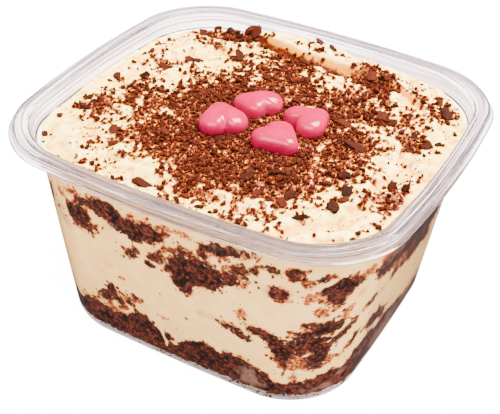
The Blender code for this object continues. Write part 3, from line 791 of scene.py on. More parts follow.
def rim_drag(tree, place):
    """Lines that the mould leaves along the rim, about 0.7 mm apart and 60 mm long: noise
    over the plan place and the distance across the rim."""
    parts = add_node(tree, "ShaderNodeSeparateXYZ", {0: place}).outputs
    across = add_node(tree, "ShaderNodeAttribute", attribute_name="across_rim").outputs["Fac"]
    lengths = ((parts[0], 60 * MM), (parts[1], 60 * MM), (across, 0.7))
    shrunk = [add_node(tree, "ShaderNodeMath", {0: value, 1: 1 / length}, operation='MULTIPLY').outputs[0]
              for value, length in lengths]
    vector = add_node(tree, "ShaderNodeCombineXYZ", dict(enumerate(shrunk))).outputs[0]
    values = {"Vector": vector, "Scale": 1.0, "Detail": 2.0}
    return add_node(tree, "ShaderNodeTexNoise", values).outputs[0]


def clear_sheet_material(name, tint, fold_tint, edge_shade_tint, foot_shade_tint, clearness, height, strength):
    """Thermoformed clear PET: IOR 1.57, glossy from the mould.  Where it was stretched it is
    a little milky, so less of it is clear, and its drag lines are darker.  Lamps and the
    light that food gives off pass straight through it, as they do through a thin sheet."""
    material, tree, output, read = new_material(name)
    relief = height(tree, read["place"])
    facing = add_node(tree, "ShaderNodeLayerWeight", {"Blend": 0.5}).outputs["Facing"]
    level = add_node(tree, "ShaderNodeSeparateXYZ", {0: read["place"]}).outputs[2]
    # Painted shade: seen edge-on, the sheet darkens towards the edge tint.  Round the foot, where the sheet
    # is drawn thick, it darkens to the foot tint: painted shade, and a painted reflection of the sponge
    # above it.
    colour = lay_coats(tree, fold_tint, (
        (relief, (0.42, 0.62), tint),
        (facing, (0.72, 1.0), edge_shade_tint),
        (level, (2.0 * MM, 4.4 * MM, 1.0, 0.0), foot_shade_tint),
    ))
    sheet = surface(tree, colour, (relief, strength, 0.4), {
        "Roughness": 0.05, "IOR": 1.57, "Transmission Weight": clearness, "Specular IOR Level": 0.4})
    open_way = add_node(tree, "ShaderNodeBsdfTransparent", {"Color": (*tint, 1)}).outputs[0]
    path = add_node(tree, "ShaderNodeLightPath").outputs
    passing = add_node(tree, "ShaderNodeMath", {
        0: path["Is Shadow Ray"], 1: path["Is Diffuse Ray"]}, operation='MAXIMUM').outputs[0]
    mixed = add_node(tree, "ShaderNodeMixShader", {0: passing, 1: sheet, 2: open_way})
    tree.links.new(mixed.outputs[0], output)
    return material


def torn_edge(tree, read, reach, shift, colour):
    """Coat inside a torn edge, which is where the mesh's depth in mm, moved by noise of that
    reach, passes a shift."""
    moved = add_node(tree, "ShaderNodeMath", {
        0: read["torn"], 1: 3.0 * reach, 2: read["depth"]}, operation='MULTIPLY_ADD').outputs[0]
    middle = 1.5 * reach + shift
    return moved, (middle - 0.1, middle + 0.1), colour


def cream_material(food):
    """Whipped cream cheese filling: matt, dense and soft, with light bleeding through it.  Painted
    highlights lighten its ridges, and painted shade warms its hollows and the fold's front; it is also
    warmer in random patches, beige where the sheet presses it, and stained by cocoa, and the cocoa colours
    also paint the shadow in the crease under the rolled fold."""
    material, tree, output, read = new_material("whipped_cream_cheese", (
        ("body", 6 * MM, 3.0, 0.5), ("patchy", 2.2 * MM, 4.0, 0.5), ("fleck", 0.7 * MM, 3.0, 0.5),
        ("specks", 0.35 * MM, 2.0, 0.5), ("torn", 0.8 * MM, 4.0, 0.6), ("grain", 0.9 * MM, 3.0, 0.5),
    ), ("relief", "fold", "cocoa", "wall", "veil", "stain", "depth"))
    top = lay_coats(tree, food.cream, (
        # Painted highlight on ridges and painted shade in hollows, by height above the local mean.
        (read["relief"], (-0.1, 1.0), food.cream_ridge_highlight),
        (read["relief"], (-0.5, -1.0, 0.0, 0.4), food.cream_warm_and_hollow_shade),
        (read["patchy"], (0.50, 0.67, 0.0, 0.85), food.cream_warm_and_hollow_shade),
        # Painted shade on the fold's front.
        (read["fold"], None, food.cream_warm_and_hollow_shade),
        (read["cocoa"], (0.15, 0.7, 0.0, 0.85), food.cream_dusted),
    ))
    side = lay_coats(tree, food.cream_wall, (
        (read["body"], (0.35, 0.7), food.cream_wall_pale),
        (read["patchy"], (0.58, 0.75, 0.0, 0.4), food.cream_warm_and_hollow_shade),
    ))
    # Cocoa bleeds out from each crumb: orange-brown first, dark where the cream is soaked.  The same two
    # colours paint the shadow in the crease under the rolled fold.
    uneven = add_node(tree, "ShaderNodeMapRange", {
        "Value": read["fleck"], "From Min": 0.25, "From Max": 0.7, "To Min": 0.4, "To Max": 1.3},
        interpolation_type='SMOOTHSTEP').outputs[0]
    stain = add_node(tree, "ShaderNodeMath", {
        0: read["stain"], 1: uneven}, operation='MULTIPLY').outputs[0]
    # Cocoa dust too fine to be lumps of its own shows as specks about 0.3 mm across.
    bare = add_node(tree, "ShaderNodeMapRange", {
        "Value": read["cocoa"], "From Min": 0.0, "From Max": 1.0, "To Min": 0.72, "To Max": 0.52},
        interpolation_type='SMOOTHSTEP').outputs[0]
    speck = add_node(tree, "ShaderNodeMath", {
        0: read["specks"], 1: bare}, operation='SUBTRACT').outputs[0]
    # Crumb torn off the sponge's edge ends it: specks that thin out over 1 mm.
    colour = lay_coats(tree, top, (
        (read["wall"], None, side),
        (read["veil"], None, food.veil),
        (stain, (0.22, 0.62, 0.0, 0.95), food.stain),
        (stain, (0.55, 1.1), food.dark_stain_and_shadow),
        (speck, (0.0, 0.05), food.chocolate),
        torn_edge(tree, read, 1.0, -0.35, food.sponge),
    ))
    cream = surface(tree, colour, (read["grain"], 0.25, 0.25), {
        "Roughness": 0.5, "IOR": 1.45, "Specular IOR Level": 0.12, "Subsurface Weight": 0.25,
        "Subsurface Radius": (1.6, 1.0, 0.6), "Subsurface Scale": MM})
    tree.links.new(cream, output)
    return material


def sponge_material(food):
    """Chocolate sponge: open matt crumb, with cream smeared over its torn edge.  Painted shade makes it
    near black in its pores and painted light makes it red-brown on its raised crumb, and greyish veils lie
    over it in places."""
    material, tree, output, read = new_material("chocolate_sponge_crumb", (
        ("crumb", 0.9 * MM, 5.0, 0.75), ("fine", 0.35 * MM, 3.0, 0.6), ("torn", 0.8 * MM, 4.0, 0.6),
    ), ("pore", "veil", "depth"))
    # Height of the crumb, which also paints shade in the pores and light on the raised crumb.
    raised = add_node(tree, "ShaderNodeMath", {
        0: read["fine"], 1: 0.5, 2: read["crumb"]}, operation='MULTIPLY_ADD').outputs[0]
    raised = add_node(tree, "ShaderNodeMath", {
        0: read["pore"], 1: -0.34, 2: raised}, operation='MULTIPLY_ADD').outputs[0]
    crumb = lay_coats(tree, food.sponge_pore_shade, (
        (raised, (0.42, 0.64), food.sponge),
        (raised, (0.64, 0.86), food.sponge_lit_crumb),
        (read["veil"], None, food.veil),
    ))
    colour = lay_coats(tree, food.cream_wall, (torn_edge(tree, read, 0.7, -0.1, crumb),))
    sponge = surface(tree, colour, (raised, 0.9, 0.5), {
        "Roughness": 0.85, "IOR": 1.45, "Specular IOR Level": 0.06})
    tree.links.new(sponge, output)
    return material


def chocolate_material(food):
    """Grated plain chocolate: dull broken faces, each grain a little lighter or darker, and each crumb with
    painted shade underneath and painted light on top.
    """
    material, tree, output, read = new_material(
        "grated_plain_chocolate", (("grain", 0.6 * MM, 3.0, 0.6),), ("shade",))
    tone = add_node(tree, "ShaderNodeMath", {
        0: read["grain"], 1: read["shade"]}, operation='ADD').outputs[0]
    colour = lay_coats(tree, food.chocolate_dark, ((tone, (0.35, 1.9), food.chocolate),))
    chocolate = surface(tree, colour, (read["grain"], 0.5, 0.2), {
        "Roughness": 0.7, "IOR": 1.46, "Specular IOR Level": 0.08})
    tree.links.new(chocolate, output)
    return material


def candy_material(food):
    """Pearl sugar coating, polished in a pan: a pink body under a glossy coat."""
    material, tree, output, read = new_material("pearl_sugar_candy", (("cloud", 3 * MM, 2.0, 0.5),))
    colour = lay_coats(tree, food.candy, ((read["cloud"], (0.35, 0.7), food.candy_light),))
    candy = surface(tree, colour, (read["cloud"], 0.12, 0.3), {
        "Roughness": 0.35, "IOR": 1.5, "Specular IOR Level": 0.0, "Coat Weight": 0.5,
        "Coat Roughness": 0.16})
    tree.links.new(candy, output)
    return material


# ---------------------------------------------------------------- pieces

def round_profile(points, rounds):
    """Profile with its corners cut by quarters, so that each round halves its turns; the
    two ends stay."""
    points = np.array(points, float)
    for _ in range(rounds):
        near = 0.75 * points[:-1] + 0.25 * points[1:]
        far = 0.25 * points[:-1] + 0.75 * points[1:]
        middle = np.stack((near, far), 1).reshape(-1, 2)
        points = np.concatenate((points[:1], middle[1:-1], points[-1:]))
    return points


def tub_mesh(sheet):
    """Inner skin of the tub: rings from the floor's middle, round its edge, up the tapered
    wall and over the rounded rim profile.  It closes at the floor's middle."""
    columns = 336
    way = np.arange(columns) / columns * WAY_ROUND
    floor = wall_point(way, sheet, -FLOOR_ROUNDING, sheet)
    rings = [floor * (share, share, 1) for share in (0.25, 0.55, 0.8)]
    for angle in np.linspace(0, math.pi / 2, 9):
        height = sheet + FLOOR_ROUNDING * (1 - math.cos(angle))
        rings.append(wall_point(way, height, -FLOOR_ROUNDING * (1 - math.sin(angle)), sheet))
    for height in np.linspace(sheet + FLOOR_ROUNDING, SHOULDER_HEIGHT, 20)[1:-1]:
        rings.append(wall_point(way, height, 0.0, sheet))
    for inset, drop in round_profile(RIM_PROFILE, 2):
        inset = inset * MM
        x, y = outline(way, RIM_LENGTH / 2 - inset, RIM_WIDTH / 2 - inset, RIM_CORNER - inset / 2, RIM_BOW)
        rings.append(np.stack(np.broadcast_arrays(x, y, HEIGHT - drop * MM), -1))
    rings = np.array(rings)
    rows = len(rings)
    points = np.concatenate((rings.reshape(-1, 3), [(0, 0, sheet)]))
    triangles = fan_faces(0, columns, rows * columns, False)
    mesh = build_mesh("tub_sheet", points, ring_faces(rows, columns)[:, ::-1], triangles[:, ::-1])
    steps = np.linalg.norm(np.diff(rings[:, 0], axis=0), axis=1) / MM
    add_values(mesh, across_rim=np.repeat(np.append(0, np.cumsum(steps)), columns))
    rim_row = int(np.argmax(rings[:, 0, 2] >= SHOULDER_HEIGHT - 0.1 * MM))
    made = np.zeros(len(mesh.polygons), np.int32)
    made[rim_row * columns:(rows - 1) * columns] = 1
    mesh.polygons.foreach_set("material_index", made)
    return mesh


class DESSERT_OT_tub(bpy.types.Operator):
    """Builds the clear formed tub"""

    bl_idname = "dessert.tub"
    bl_label = "Tub"

    def execute(self, context):
        tub = context.scene.dessert_tub
        wall = clear_sheet_material(
            "thermoformed_clear_pet", tub.tint, tub.tint, tub.tint_edge_shade, tub.tint_foot_shade, 1.0,
            wall_ripple, 0.15)
        # The rim's line colour also serves as its painted edge shade.
        rim = clear_sheet_material(
            "stretched_clear_pet", tub.tint_rim, tub.tint_rim_lines_and_edge_shade, tub.tint_rim_lines_and_edge_shade, tub.tint_rim, 0.96,
            rim_drag, 0.9)
        piece = add_piece("tub_sheet", tub_mesh(tub.sheet), wall, ("tub",))
        piece.data.materials.append(rim)
        sheet = piece.modifiers.new("sheet", 'SOLIDIFY')
        sheet.thickness = tub.sheet
        sheet.offset = -1.0
        sheet.use_even_offset = True
        return {'FINISHED'}


def foot_clearance(height):
    """How far the food's rounded foot edge stands in from the wall, in mm."""
    below = np.clip(FOOD_ROUNDING + FOOD_FOOT - height, 0, FOOD_ROUNDING)
    return FOOD_ROUNDING - np.sqrt(np.clip(FOOD_ROUNDING ** 2 - below ** 2, 0, None))


def ragged(place):
    """Unevenness of a sponge's torn edge, in mm."""
    return (0.9 * layered_noise(place, 4.2, 51, 2) + 0.9 * layered_noise(place, 1.7, 61, 2)
            + 0.5 * layered_noise(place, 0.8, 62, 1))


def crumb_cells(place, size, seed):
    """Distance to the nearest crumb middle, as a share of the crumb size: each cell of a
    cubic lattice holds one middle, moved by hashed amounts."""
    scaled = place / size
    base = np.floor(scaled).astype(np.int64)
    nearest = np.full(place.shape[:-1], 9.0)
    for step in np.ndindex(3, 3, 3):
        cell = base + np.array(step) - 1
        code = cell_code(cell, seed)
        distance = 0.0
        for axis in range(3):
            code = stirred(code)
            middle = cell[..., axis] + 0.5 + 0.8 * ((code >> 8 & 0xFFFF) / 65535 - 0.5)
            distance = distance + (scaled[..., axis] - middle) ** 2
        nearest = np.minimum(nearest, distance)
    return np.sqrt(nearest)


def sponge_outset(place, depth):
    """How far sponge stands into the sheet, in mm, and how deep in a pore it is, 0 to 1.
    Crumbs stand up round their middles, with pores between them; past its torn edge the
    sponge drops away."""
    bent = place + 0.5 * np.stack([noise(place, 1.6, seed) for seed in (81, 82, 83)], -1)
    pores = smooth_step(0.35, 0.85, crumb_cells(bent, 1.25, 84) + 0.25 * layered_noise(place, 2.6, 85, 2))
    outset = 0.47 - 0.34 * pores + 0.04 * noise(place, 0.8, 71)
    outset = np.where(depth > 0, np.minimum(outset, 0.12 + 0.9 * depth), np.maximum(2.0 * depth, -1.6))
    return outset, pores


def base_depth(way, height):
    """Depth inside the bottom sponge at the wall, in mm: below its head, and above its foot
    with 0.8 mm to spare."""
    return np.minimum(line_height(way, BASE_HEAD) - height, height - line_height(way, BASE_FOOT) + 0.8)


def middle_depth(way, height):
    """Depth inside the middle sponge at the wall, in mm."""
    return patch_depth(way, height, MIDDLE_PATCHES + hidden_patches(seed=5, low=38, high=48, count=26))


def wall_sponge_depth(way, height):
    """Depth inside the nearest sponge of any kind at the wall, in mm."""
    return np.maximum.reduce((
        base_depth(way, height), middle_depth(way, height),
        patch_depth(way, height, SUNK_PATCHES), patch_depth(way, height, LOOSE_PATCHES)))


def sponge_band(name, depth_of, low, high, height_step, way_step, foot_level, head_level):
    """Closed band of sponge, with its sizes in mm.  Its wall side stands up to about 0.5 mm
    into the sheet where depth_of is above 0, with pores between its crumbs, and falls behind
    the cream elsewhere.  Points in its middle close it at a foot level and a head level."""
    columns = int(WAY_ROUND / way_step)
    way = np.arange(columns)[None, :] * WAY_ROUND / columns
    height = np.linspace(low, high, int((high - low) / height_step))[:, None]
    way, height = np.broadcast_arrays(way, height)
    place = at_wall(way, height) / MM
    depth = depth_of(way, height) + ragged(place)
    outset, pores = sponge_outset(place, depth)
    points = at_wall(way, height, outset - foot_clearance(height))
    mesh = closed_stack(name, points, (0, 0, foot_level * MM), (0, 0, head_level * MM))
    veil = smooth_step(-0.6, 2.6, patch_depth(way, height, VEILS_AND_SHADES) + 3.4 * layered_noise(place, 1.6, 91))
    add_values(mesh, pore=pores, veil=0.62 * veil, depth=depth)
    return mesh


def sponge_pillow(way, height, patches, rough, border, back):
    """Pillow of sponge at the wall: points, quads, pores and depths.  Its front is ragged
    round its patches, its border may be drawn in by a set outset, and its back lies at
    another."""
    place = at_wall(way, height) / MM
    depth = patch_depth(way, height, patches) + rough * ragged(place)
    outset, pores = sponge_outset(place, depth)
    if border is not None:
        inner = outset[1:-1, 1:-1]
        outset = np.pad(inner, 1, constant_values=border)
    points, quads = pillow(at_wall(way, height, outset), at_wall(way, height, back))
    return points, quads, padded(pores, len(points)), padded(depth, len(points))


def pillows_mesh(name, pillows):
    """One mesh of sponge pillows."""
    points, quads, pores, depths = zip(*pillows)
    starts = np.cumsum([0] + [len(made) for made in points])
    quads = np.concatenate([faces + start for faces, start in zip(quads, starts)])
    mesh = build_mesh(name, np.concatenate(points), quads)
    add_values(mesh, pore=np.concatenate(pores), depth=np.concatenate(depths), veil=np.zeros(0))
    return mesh


def loose_sponge_mesh():
    """Loose bits of sponge at the wall, each a pillow over its patch."""
    pillows = []
    for patch in LOOSE_PATCHES:
        centre, level, half_length, half_height, _ = patch
        reach = max(half_length, half_height) + 1.2
        steps = np.linspace(-reach, reach, int(2 * reach / 0.3))
        way, height = np.meshgrid(centre + steps, level + steps)
        pillows.append(sponge_pillow(way, height, (patch,), 0.7, -1.4, -1.8))
    return pillows_mesh("sponge_bits", pillows)


def sunk_sponge_mesh():
    """Sunk piece of sponge: a pillow whose front is flush with the wall, and whose back
    swells into the cream as a product of two parabolas."""
    way, height = np.meshgrid(np.linspace(20, 50, 150), np.linspace(14, 34, 100))
    swell = (1 - ((way - 35) / 15) ** 2) * (1 - ((height - 24) / 10) ** 2)
    return pillows_mesh("sponge_sunk_body", [
        sponge_pillow(way, height, SUNK_PATCHES, 1.0, None, -1.8 - 6 * swell)])


def side_values(way, height, place, stained_at):
    """Stain and greyish veils of the cream at the wall: blotches in the named patches, and a fringe round
    the sponge.  The veils are partly painted shade."""
    blotch = patch_depth(way, height, STAINS) + 1.6 * layered_noise(place, 3.0, 101)
    fringe = wall_sponge_depth(way, height) + layered_noise(place, 2.2, 111)
    stain = 0.8 * smooth_step(-0.6, 1.6, blotch) + 0.6 * smooth_step(-1.8, 0.2, fringe)
    stain = stain + stained_at(np.mod(way, WAY_ROUND), height)
    veil = smooth_step(-0.8, 2.0, patch_depth(way, height, VEILS_AND_SHADES) + 1.4 * layered_noise(place, 3.0, 121))
    return np.clip(stain, 0, 1), 0.6 * veil


def cream_side(way, height, stained_at):
    """Wall side of the cream, drawn back where sponge shows: points, stain, greyish veils that are partly
    painted shade, and depth inside sponge."""
    place = at_wall(way, height) / MM
    depth = wall_sponge_depth(way, height) + ragged(place)
    outset = CREAM_OUTSET - 1.3 * smooth_step(0.3, 1.3, depth)
    points = at_wall(way, height, outset - foot_clearance(height))
    return points, *side_values(way, height, place, stained_at), depth


def lower_cream_mesh(stained_at):
    """Lower cream: a closed band from the floor to just above the line where it meets the
    top cream."""
    columns = 760
    rows = 118
    way = np.arange(columns)[None, :] * WAY_ROUND / columns
    part = np.linspace(0, 1, rows)[:, None]
    height = LOWER_FOOT + part * (line_height(way, MIDDLE_LINE) + CREAM_LAP - LOWER_FOOT)
    way, height = np.broadcast_arrays(way, height)
    points, stain, veil, depth = cream_side(way, height, stained_at)
    mesh = closed_stack("cream_lower_body", points, (0, 0, LOWER_FOOT * MM), (0, 0, 44 * MM))
    none = np.zeros(0)
    add_values(mesh, stain=stain, veil=veil, wall=np.ones_like(stain), depth=depth, relief=none, cocoa=none)
    return mesh


def square_ring(u, v):
    """Which square ring round the middle a point of the square -1..1 is on, as a share of
    the outermost, and how far round that ring it is, 0 to 4, from the corner (-1, -1)
    towards +u."""
    share = np.maximum(np.abs(u), np.abs(v))
    safe = np.maximum(share, 1e-6)
    u, v = u / safe, v / safe
    sides = [v <= -1 + 1e-9, u >= 1 - 1e-9, v >= 1 - 1e-9]
    return share, np.select(sides, [u + 1, v + 3, 5 - u], 7 - v) / 2


def top_cream_mesh(halo_at, stained_at):
    """Top cream: a square grid drawn over the top, whose square rings become rings of the
    tub's outline, and its wall side below, whose head ring is the grid's border."""
    size = 258
    side_rows = 20
    numbers = np.arange(size * size).reshape(size, size)
    border = np.concatenate((numbers[0, :-1], numbers[:-1, -1], numbers[-1, :0:-1], numbers[:0:-1, 0]))
    columns = len(border)
    corner = (WAY_STEPS[7] + WAY_STEPS[8]) / 2
    stops = np.array([corner - WAY_ROUND, *((WAY_STEPS[1:7:2] + WAY_STEPS[2:8:2]) / 2), corner])
    way = np.interp(np.arange(columns), np.arange(5) * (size - 1), stops)
    # The edge's height follows the cream's, which depends on the edge's place.
    edge = at_wall(way, TOP_LEVEL + 0.6, EDGE_OUTSET)
    for _ in range(3):
        level = cream_height(edge[:, 0] / MM, edge[:, 1] / MM) + CREEP
        edge = at_wall(way, level, EDGE_OUTSET)
    part = np.linspace(0, 1, side_rows + 1)[:-1, None]
    meeting = line_height(way, MIDDLE_LINE)
    height = meeting - CREAM_LAP + part * (level - meeting + CREAM_LAP)
    side, stain, veil, depth = cream_side(*np.broadcast_arrays(way, height), stained_at)

    # Towards the middle the rings turn from the outline into plain squares, so that no
    # crease runs in from the corners.
    u, v = np.meshgrid(np.linspace(-1, 1, size), np.linspace(-1, 1, size))
    share, round_ring = square_ring(u, v)
    ring = [np.interp(round_ring * (size - 1), np.arange(columns + 1), np.append(row, row[0]) / MM)
            for row in edge.T[:2]]
    x, y = (share ** 2 * outer + (1 - share) * straight * TOP_HALF
            for outer, straight in zip(ring, (u, v)))
    top = cream_height(x, y) + CREEP * smooth_step(0.965, 1.0, share)
    points = np.concatenate((
        np.stack((x, y, top), -1).reshape(-1, 3) * MM, side[::-1].reshape(-1, 3), [(0, 0, 43 * MM)]))
    rings = size * size + np.arange(side_rows * columns).reshape(side_rows, columns)
    rings = np.concatenate((border[None], rings))
    walls = grid_faces(np.append(rings, rings[:, :1], 1))[:, (3, 2, 1, 0)]
    foot = fan_faces(rings[-1, 0], columns, len(points) - 1, False)
    mesh = build_mesh("cream_top_body", points, np.concatenate((grid_faces(numbers), walls)), foot)

    crease, front = fold_shade(x, y)
    # Height above the local mean, which paints highlights on ridges and shade in hollows.
    relief = np.clip((top - cream_height_blurred(x, y)) / 0.2, -1, 1)
    cocoa = topping_share(x, y)
    smear = 0.2 * cocoa * smooth_step(-0.2, 0.8, layered_noise(flat_place(x, y), 2.5, 131))
    # Cocoa halos and smears, and painted shadow in the crease under the fold.
    top_stain_and_shadow = np.clip(0.85 * halo_at(x, y) + smear + crease, 0, 1.6)
    flat = np.zeros_like(x)
    add_values(
        mesh,
        stain=np.append(top_stain_and_shadow, stain[::-1]),
        veil=np.append(flat, veil[::-1]),
        wall=np.append(flat, np.ones_like(stain)),
        depth=np.append(flat - FAR_FROM_SPONGE, depth[::-1]),
        relief=relief, cocoa=cocoa, fold=front)
    return mesh


def topping_places(source, count, sharpness):
    """Plan places for topping in mm: random points over the cream, kept where a random number
    is under the topping's share raised to a power."""
    half_length, half_width = RIM_LENGTH / 2 / MM - TOPPING_INSET, RIM_WIDTH / 2 / MM - TOPPING_INSET
    tries = source.uniform(-1, 1, (count * 14, 2)) * (half_length, half_width)
    luck = source.uniform(0, 1, len(tries))
    x, y = tries.T
    corner = RIM_CORNER / MM
    over_x = np.clip(np.abs(x) - (half_length - corner), 0, None)
    over_y = np.clip(np.abs(y) - (half_width - corner), 0, None)
    inside = np.hypot(over_x, over_y) < corner - 1.2 - RIM_BOW * corner
    return tries[inside & (luck < topping_share(x, y) ** sharpness)][:count]


def topping_lumps(food):
    """Random source, places and radii of the dust and of the crumbs."""
    lots = []
    for seed, count, sharpness, least, more, shape in (
            (101, food.dust_count, 1.1, 0.14, 0.24, (1.3, 3.0)),
            (202, food.crumb_count, 1.0, 0.25, 0.95, (1.0, 4.3))):
        source = np.random.default_rng(seed)
        places = topping_places(source, count, sharpness)
        lots.append((source, places, least + more * source.beta(*shape, len(places))))
    return lots


def wall_crumb_places(food):
    """Random source, ways round, heights and radii of the crumbs in the cream at the wall,
    which lie close round the sponge and in the stains."""
    source = np.random.default_rng(404)
    tries = food.wall_crumb_count * 12
    way = source.uniform(0, WAY_ROUND, tries)
    height = source.uniform(2, 54, tries)
    place = at_wall(way, height) / MM
    near = wall_sponge_depth(way, height) + 1.6 * layered_noise(place, 5.0, 141)
    chance = 0.9 * smooth_step(-3.0, 0.4, near) ** 1.5 * (near < 1.2) + 0.008
    chance = chance + 0.22 * smooth_step(-1.5, 1.0, patch_depth(way, height, STAINS))
    kept = np.flatnonzero(source.uniform(0, 1, tries) < chance)[:food.wall_crumb_count]
    radii = 0.15 + 0.6 * source.beta(1.0, 4.0, len(kept))
    return source, way[kept], height[kept], radii


def halo_map(places, radii, low, high, strength, spread):
    """Function that gives how stained the cream is round crumbs: each crumb adds its area to
    a grid of 0.25 mm cells, which is then blurred by small steps to its neighbours."""
    cell = 0.25
    low = np.array(low)
    shape = ((np.array(high) - low) / cell).astype(int)
    grid = np.zeros(shape[::-1])
    column, row = np.clip(((places - low) / cell).astype(int), 0, shape - 1).T
    np.add.at(grid, (row, column), radii ** 2 / cell ** 2 * strength)
    for _ in range(spread):
        sides = np.roll(grid, 1, 0) + np.roll(grid, -1, 0) + np.roll(grid, 1, 1) + np.roll(grid, -1, 1)
        grid = 0.4 * grid + 0.15 * sides

    def halo_at(x, y):
        place_x = np.clip((x - low[0]) / cell - 0.5, 0, shape[0] - 1.001)
        place_y = np.clip((y - low[1]) / cell - 0.5, 0, shape[1] - 1.001)
        left, under = place_x.astype(int), place_y.astype(int)
        across, up = place_x - left, place_y - under
        lower = blend(grid[under, left], grid[under, left + 1], across)
        upper = blend(grid[under + 1, left], grid[under + 1, left + 1], across)
        return smooth_step(0.02, 0.4, blend(lower, upper, up))
    return halo_at


class DESSERT_OT_layers(bpy.types.Operator):
    """Builds the sponge and cream layers out to the wall"""

    bl_idname = "dessert.layers"
    bl_label = "Layers"

    def execute(self, context):
        food = context.scene.dessert_food
        _, way, height, radii = wall_crumb_places(food)
        stained_at = halo_map(
            np.stack((way, height), -1), radii, (0, 0), (WAY_ROUND, 60), strength=2.2, spread=8)
        (_, dust, dust_radius), (_, crumbs, crumb_radius) = topping_lumps(food)
        shavings = np.array(SHAVINGS, float)
        halo_at = halo_map(
            np.concatenate((dust, crumbs, shavings[:, :2])),
            np.concatenate((dust_radius, crumb_radius, shavings[:, 2] * 0.4)),
            (-58, -58), (58, 58), strength=2.6, spread=7)
        sponge = sponge_material(food)
        cream = cream_material(food)
        base = sponge_band(
            "sponge_base_body", base_depth, low=0.95, high=19, height_step=0.3, way_step=0.31,
            foot_level=0.95, head_level=12)
        middle = sponge_band(
            "sponge_middle_body", middle_depth, low=28.5, high=53.5, height_step=0.31, way_step=0.33,
            foot_level=38, head_level=47)
        add_piece("sponge_base_body", base, sponge, ("sponge_base",))
        add_piece("sponge_middle_body", middle, sponge, ("sponge_middle",))
        add_piece("sponge_sunk_body", sunk_sponge_mesh(), sponge, ("sponge_sunk",))
        add_piece("sponge_bits", loose_sponge_mesh(), sponge)
        add_piece("cream_lower_body", lower_cream_mesh(stained_at), cream, ("cream_lower",))
        add_piece("cream_top_body", top_cream_mesh(halo_at, stained_at), cream, ("cream_top",))
        return {'FINISHED'}


def heart_outline(circles, rays):
    """Middle of a heart, the directions of rays from it, and their lengths.  Each ray ends
    where it leaves the farther of two tapers, from the point's circle to a lobe's circle."""
    circles = np.array(circles)
    middle = circles[:, :2].mean(0)
    angles = np.arange(rays) * 2 * math.pi / rays
    direction = np.stack((np.cos(angles), np.sin(angles)), -1)
    reach = np.zeros(rays)
    part = np.linspace(0, 1, 60)[:, None]
    for lobe in circles[1:]:
        taper = blend(circles[0], lobe, part)
        offset = taper[:, :2] - middle
        along = direction @ offset.T
        across = direction[:, :1] * offset[:, 1] - direction[:, 1:] * offset[:, 0]
        inside = taper[:, 2] ** 2 - across ** 2
        ends = np.where(inside > 0, along + np.sqrt(np.clip(inside, 0, None)), 0)
        reach = np.maximum(reach, ends.max(1))
    for _ in range(6):
        reach = 0.5 * reach + 0.25 * (np.roll(reach, 1) + np.roll(reach, -1))
    return middle, direction, reach


def heart_mesh(name):
    """Heart: rings of its outline, drawn in by a rounded profile with upright sides, a tight
    shoulder and a low dome.  A groove runs in from the notch and fades, and long noise
    keeps the dome uneven."""
    circles = HEARTS[name]
    middle, direction, reach = heart_outline(circles, 200)
    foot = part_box(name)[0].z / MM - HEART_SINK
    share, level = round_profile(HEART_PROFILE, 2).T[:, :, None]
    plan = direction[None] * (reach[None] * share)[..., None]
    away = np.array(circles[0][:2]) - middle
    away = away / np.linalg.norm(away)
    along = -(plan @ away)
    across = plan[..., 0] * away[1] - plan[..., 1] * away[0]
    groove = np.exp(-(across / 0.9) ** 2) * smooth_step(2.2, 5.2, along) * smooth_step(0.3, 0.7, level)
    height = level * (HEART_THICKNESS + HEART_SINK) - 0.6 * groove
    place = flat_place(plan[..., 0] + middle[0], plan[..., 1] + middle[1])
    height = height + 0.12 * noise(place, 3.2, 7) * smooth_step(0.6, 0.95, level)
    rings = np.concatenate((plan + middle, (foot + height)[..., None]), -1) * MM
    tip = (*middle * MM, rings[-1, :, 2].mean())
    return closed_stack(name, rings, (*middle * MM, foot * MM), tip)


class DESSERT_OT_hearts(bpy.types.Operator):
    """Builds the four candy hearts"""

    bl_idname = "dessert.hearts"
    bl_label = "Candy hearts"

    def execute(self, context):
        candy = candy_material(context.scene.dessert_food)
        for name in HEARTS:
            add_piece(name + "_candy", heart_mesh(name), candy, (name,))
        return {'FINISHED'}


def seat_on_cream(places, radii, sink):
    """Centres of lumps that rest on the cream, sunk by a share of their radius."""
    x, y = places.T
    return np.stack((x, y, cream_height(x, y) + radii * (1 - sink)), -1) * MM


def shaving_mesh():
    """Larger shavings: boxes with rounded edges, |x|^0.55 of a ball, with the named sizes,
    directions and tilts, roughened by noise."""
    source = np.random.default_rng(303)
    base, triangles = lump_shape(2)
    places = np.array(SHAVINGS, float)[:, :2]
    length, breadth, turn, tilt = np.array(SHAVINGS, float)[:, 2:].T
    count = len(places)
    thickness = np.clip(breadth * source.uniform(0.28, 0.5, count), 0.5, 1.5)
    half = np.stack((length, breadth, thickness), -1) / 2
    box = np.sign(base) * np.abs(base) ** 0.55
    apart = np.arange(count)[:, None, None] * 17.0
    rough = 1 + 0.36 * noise(base[None] * 1.7 + apart, 1.0, 5)[..., None]
    rough = rough + source.uniform(-0.07, 0.07, (count, len(base), 1))
    ct, st = np.cos(np.radians(tilt)), np.sin(np.radians(tilt))
    cu, su = np.cos(np.radians(turn)), np.sin(np.radians(turn))
    zero, one = np.zeros(count), np.ones(count)
    tilting = np.stack((ct, zero, -st, zero, one, zero, st, zero, ct), -1).reshape(count, 3, 3)
    turning = np.stack((cu, -su, zero, su, cu, zero, zero, zero, one), -1).reshape(count, 3, 3)
    lumps = turned(turning @ tilting, box[None] * rough * half[:, None, :]) * MM
    centres = seat_on_cream(places, half[:, 2] + half[:, 0] * st * 0.6, 0.25)
    shade = np.repeat(source.uniform(0.0, 0.7, count), len(base))
    return joined_lumps("chocolate_shavings", lumps + centres[:, None, :], triangles, shade)


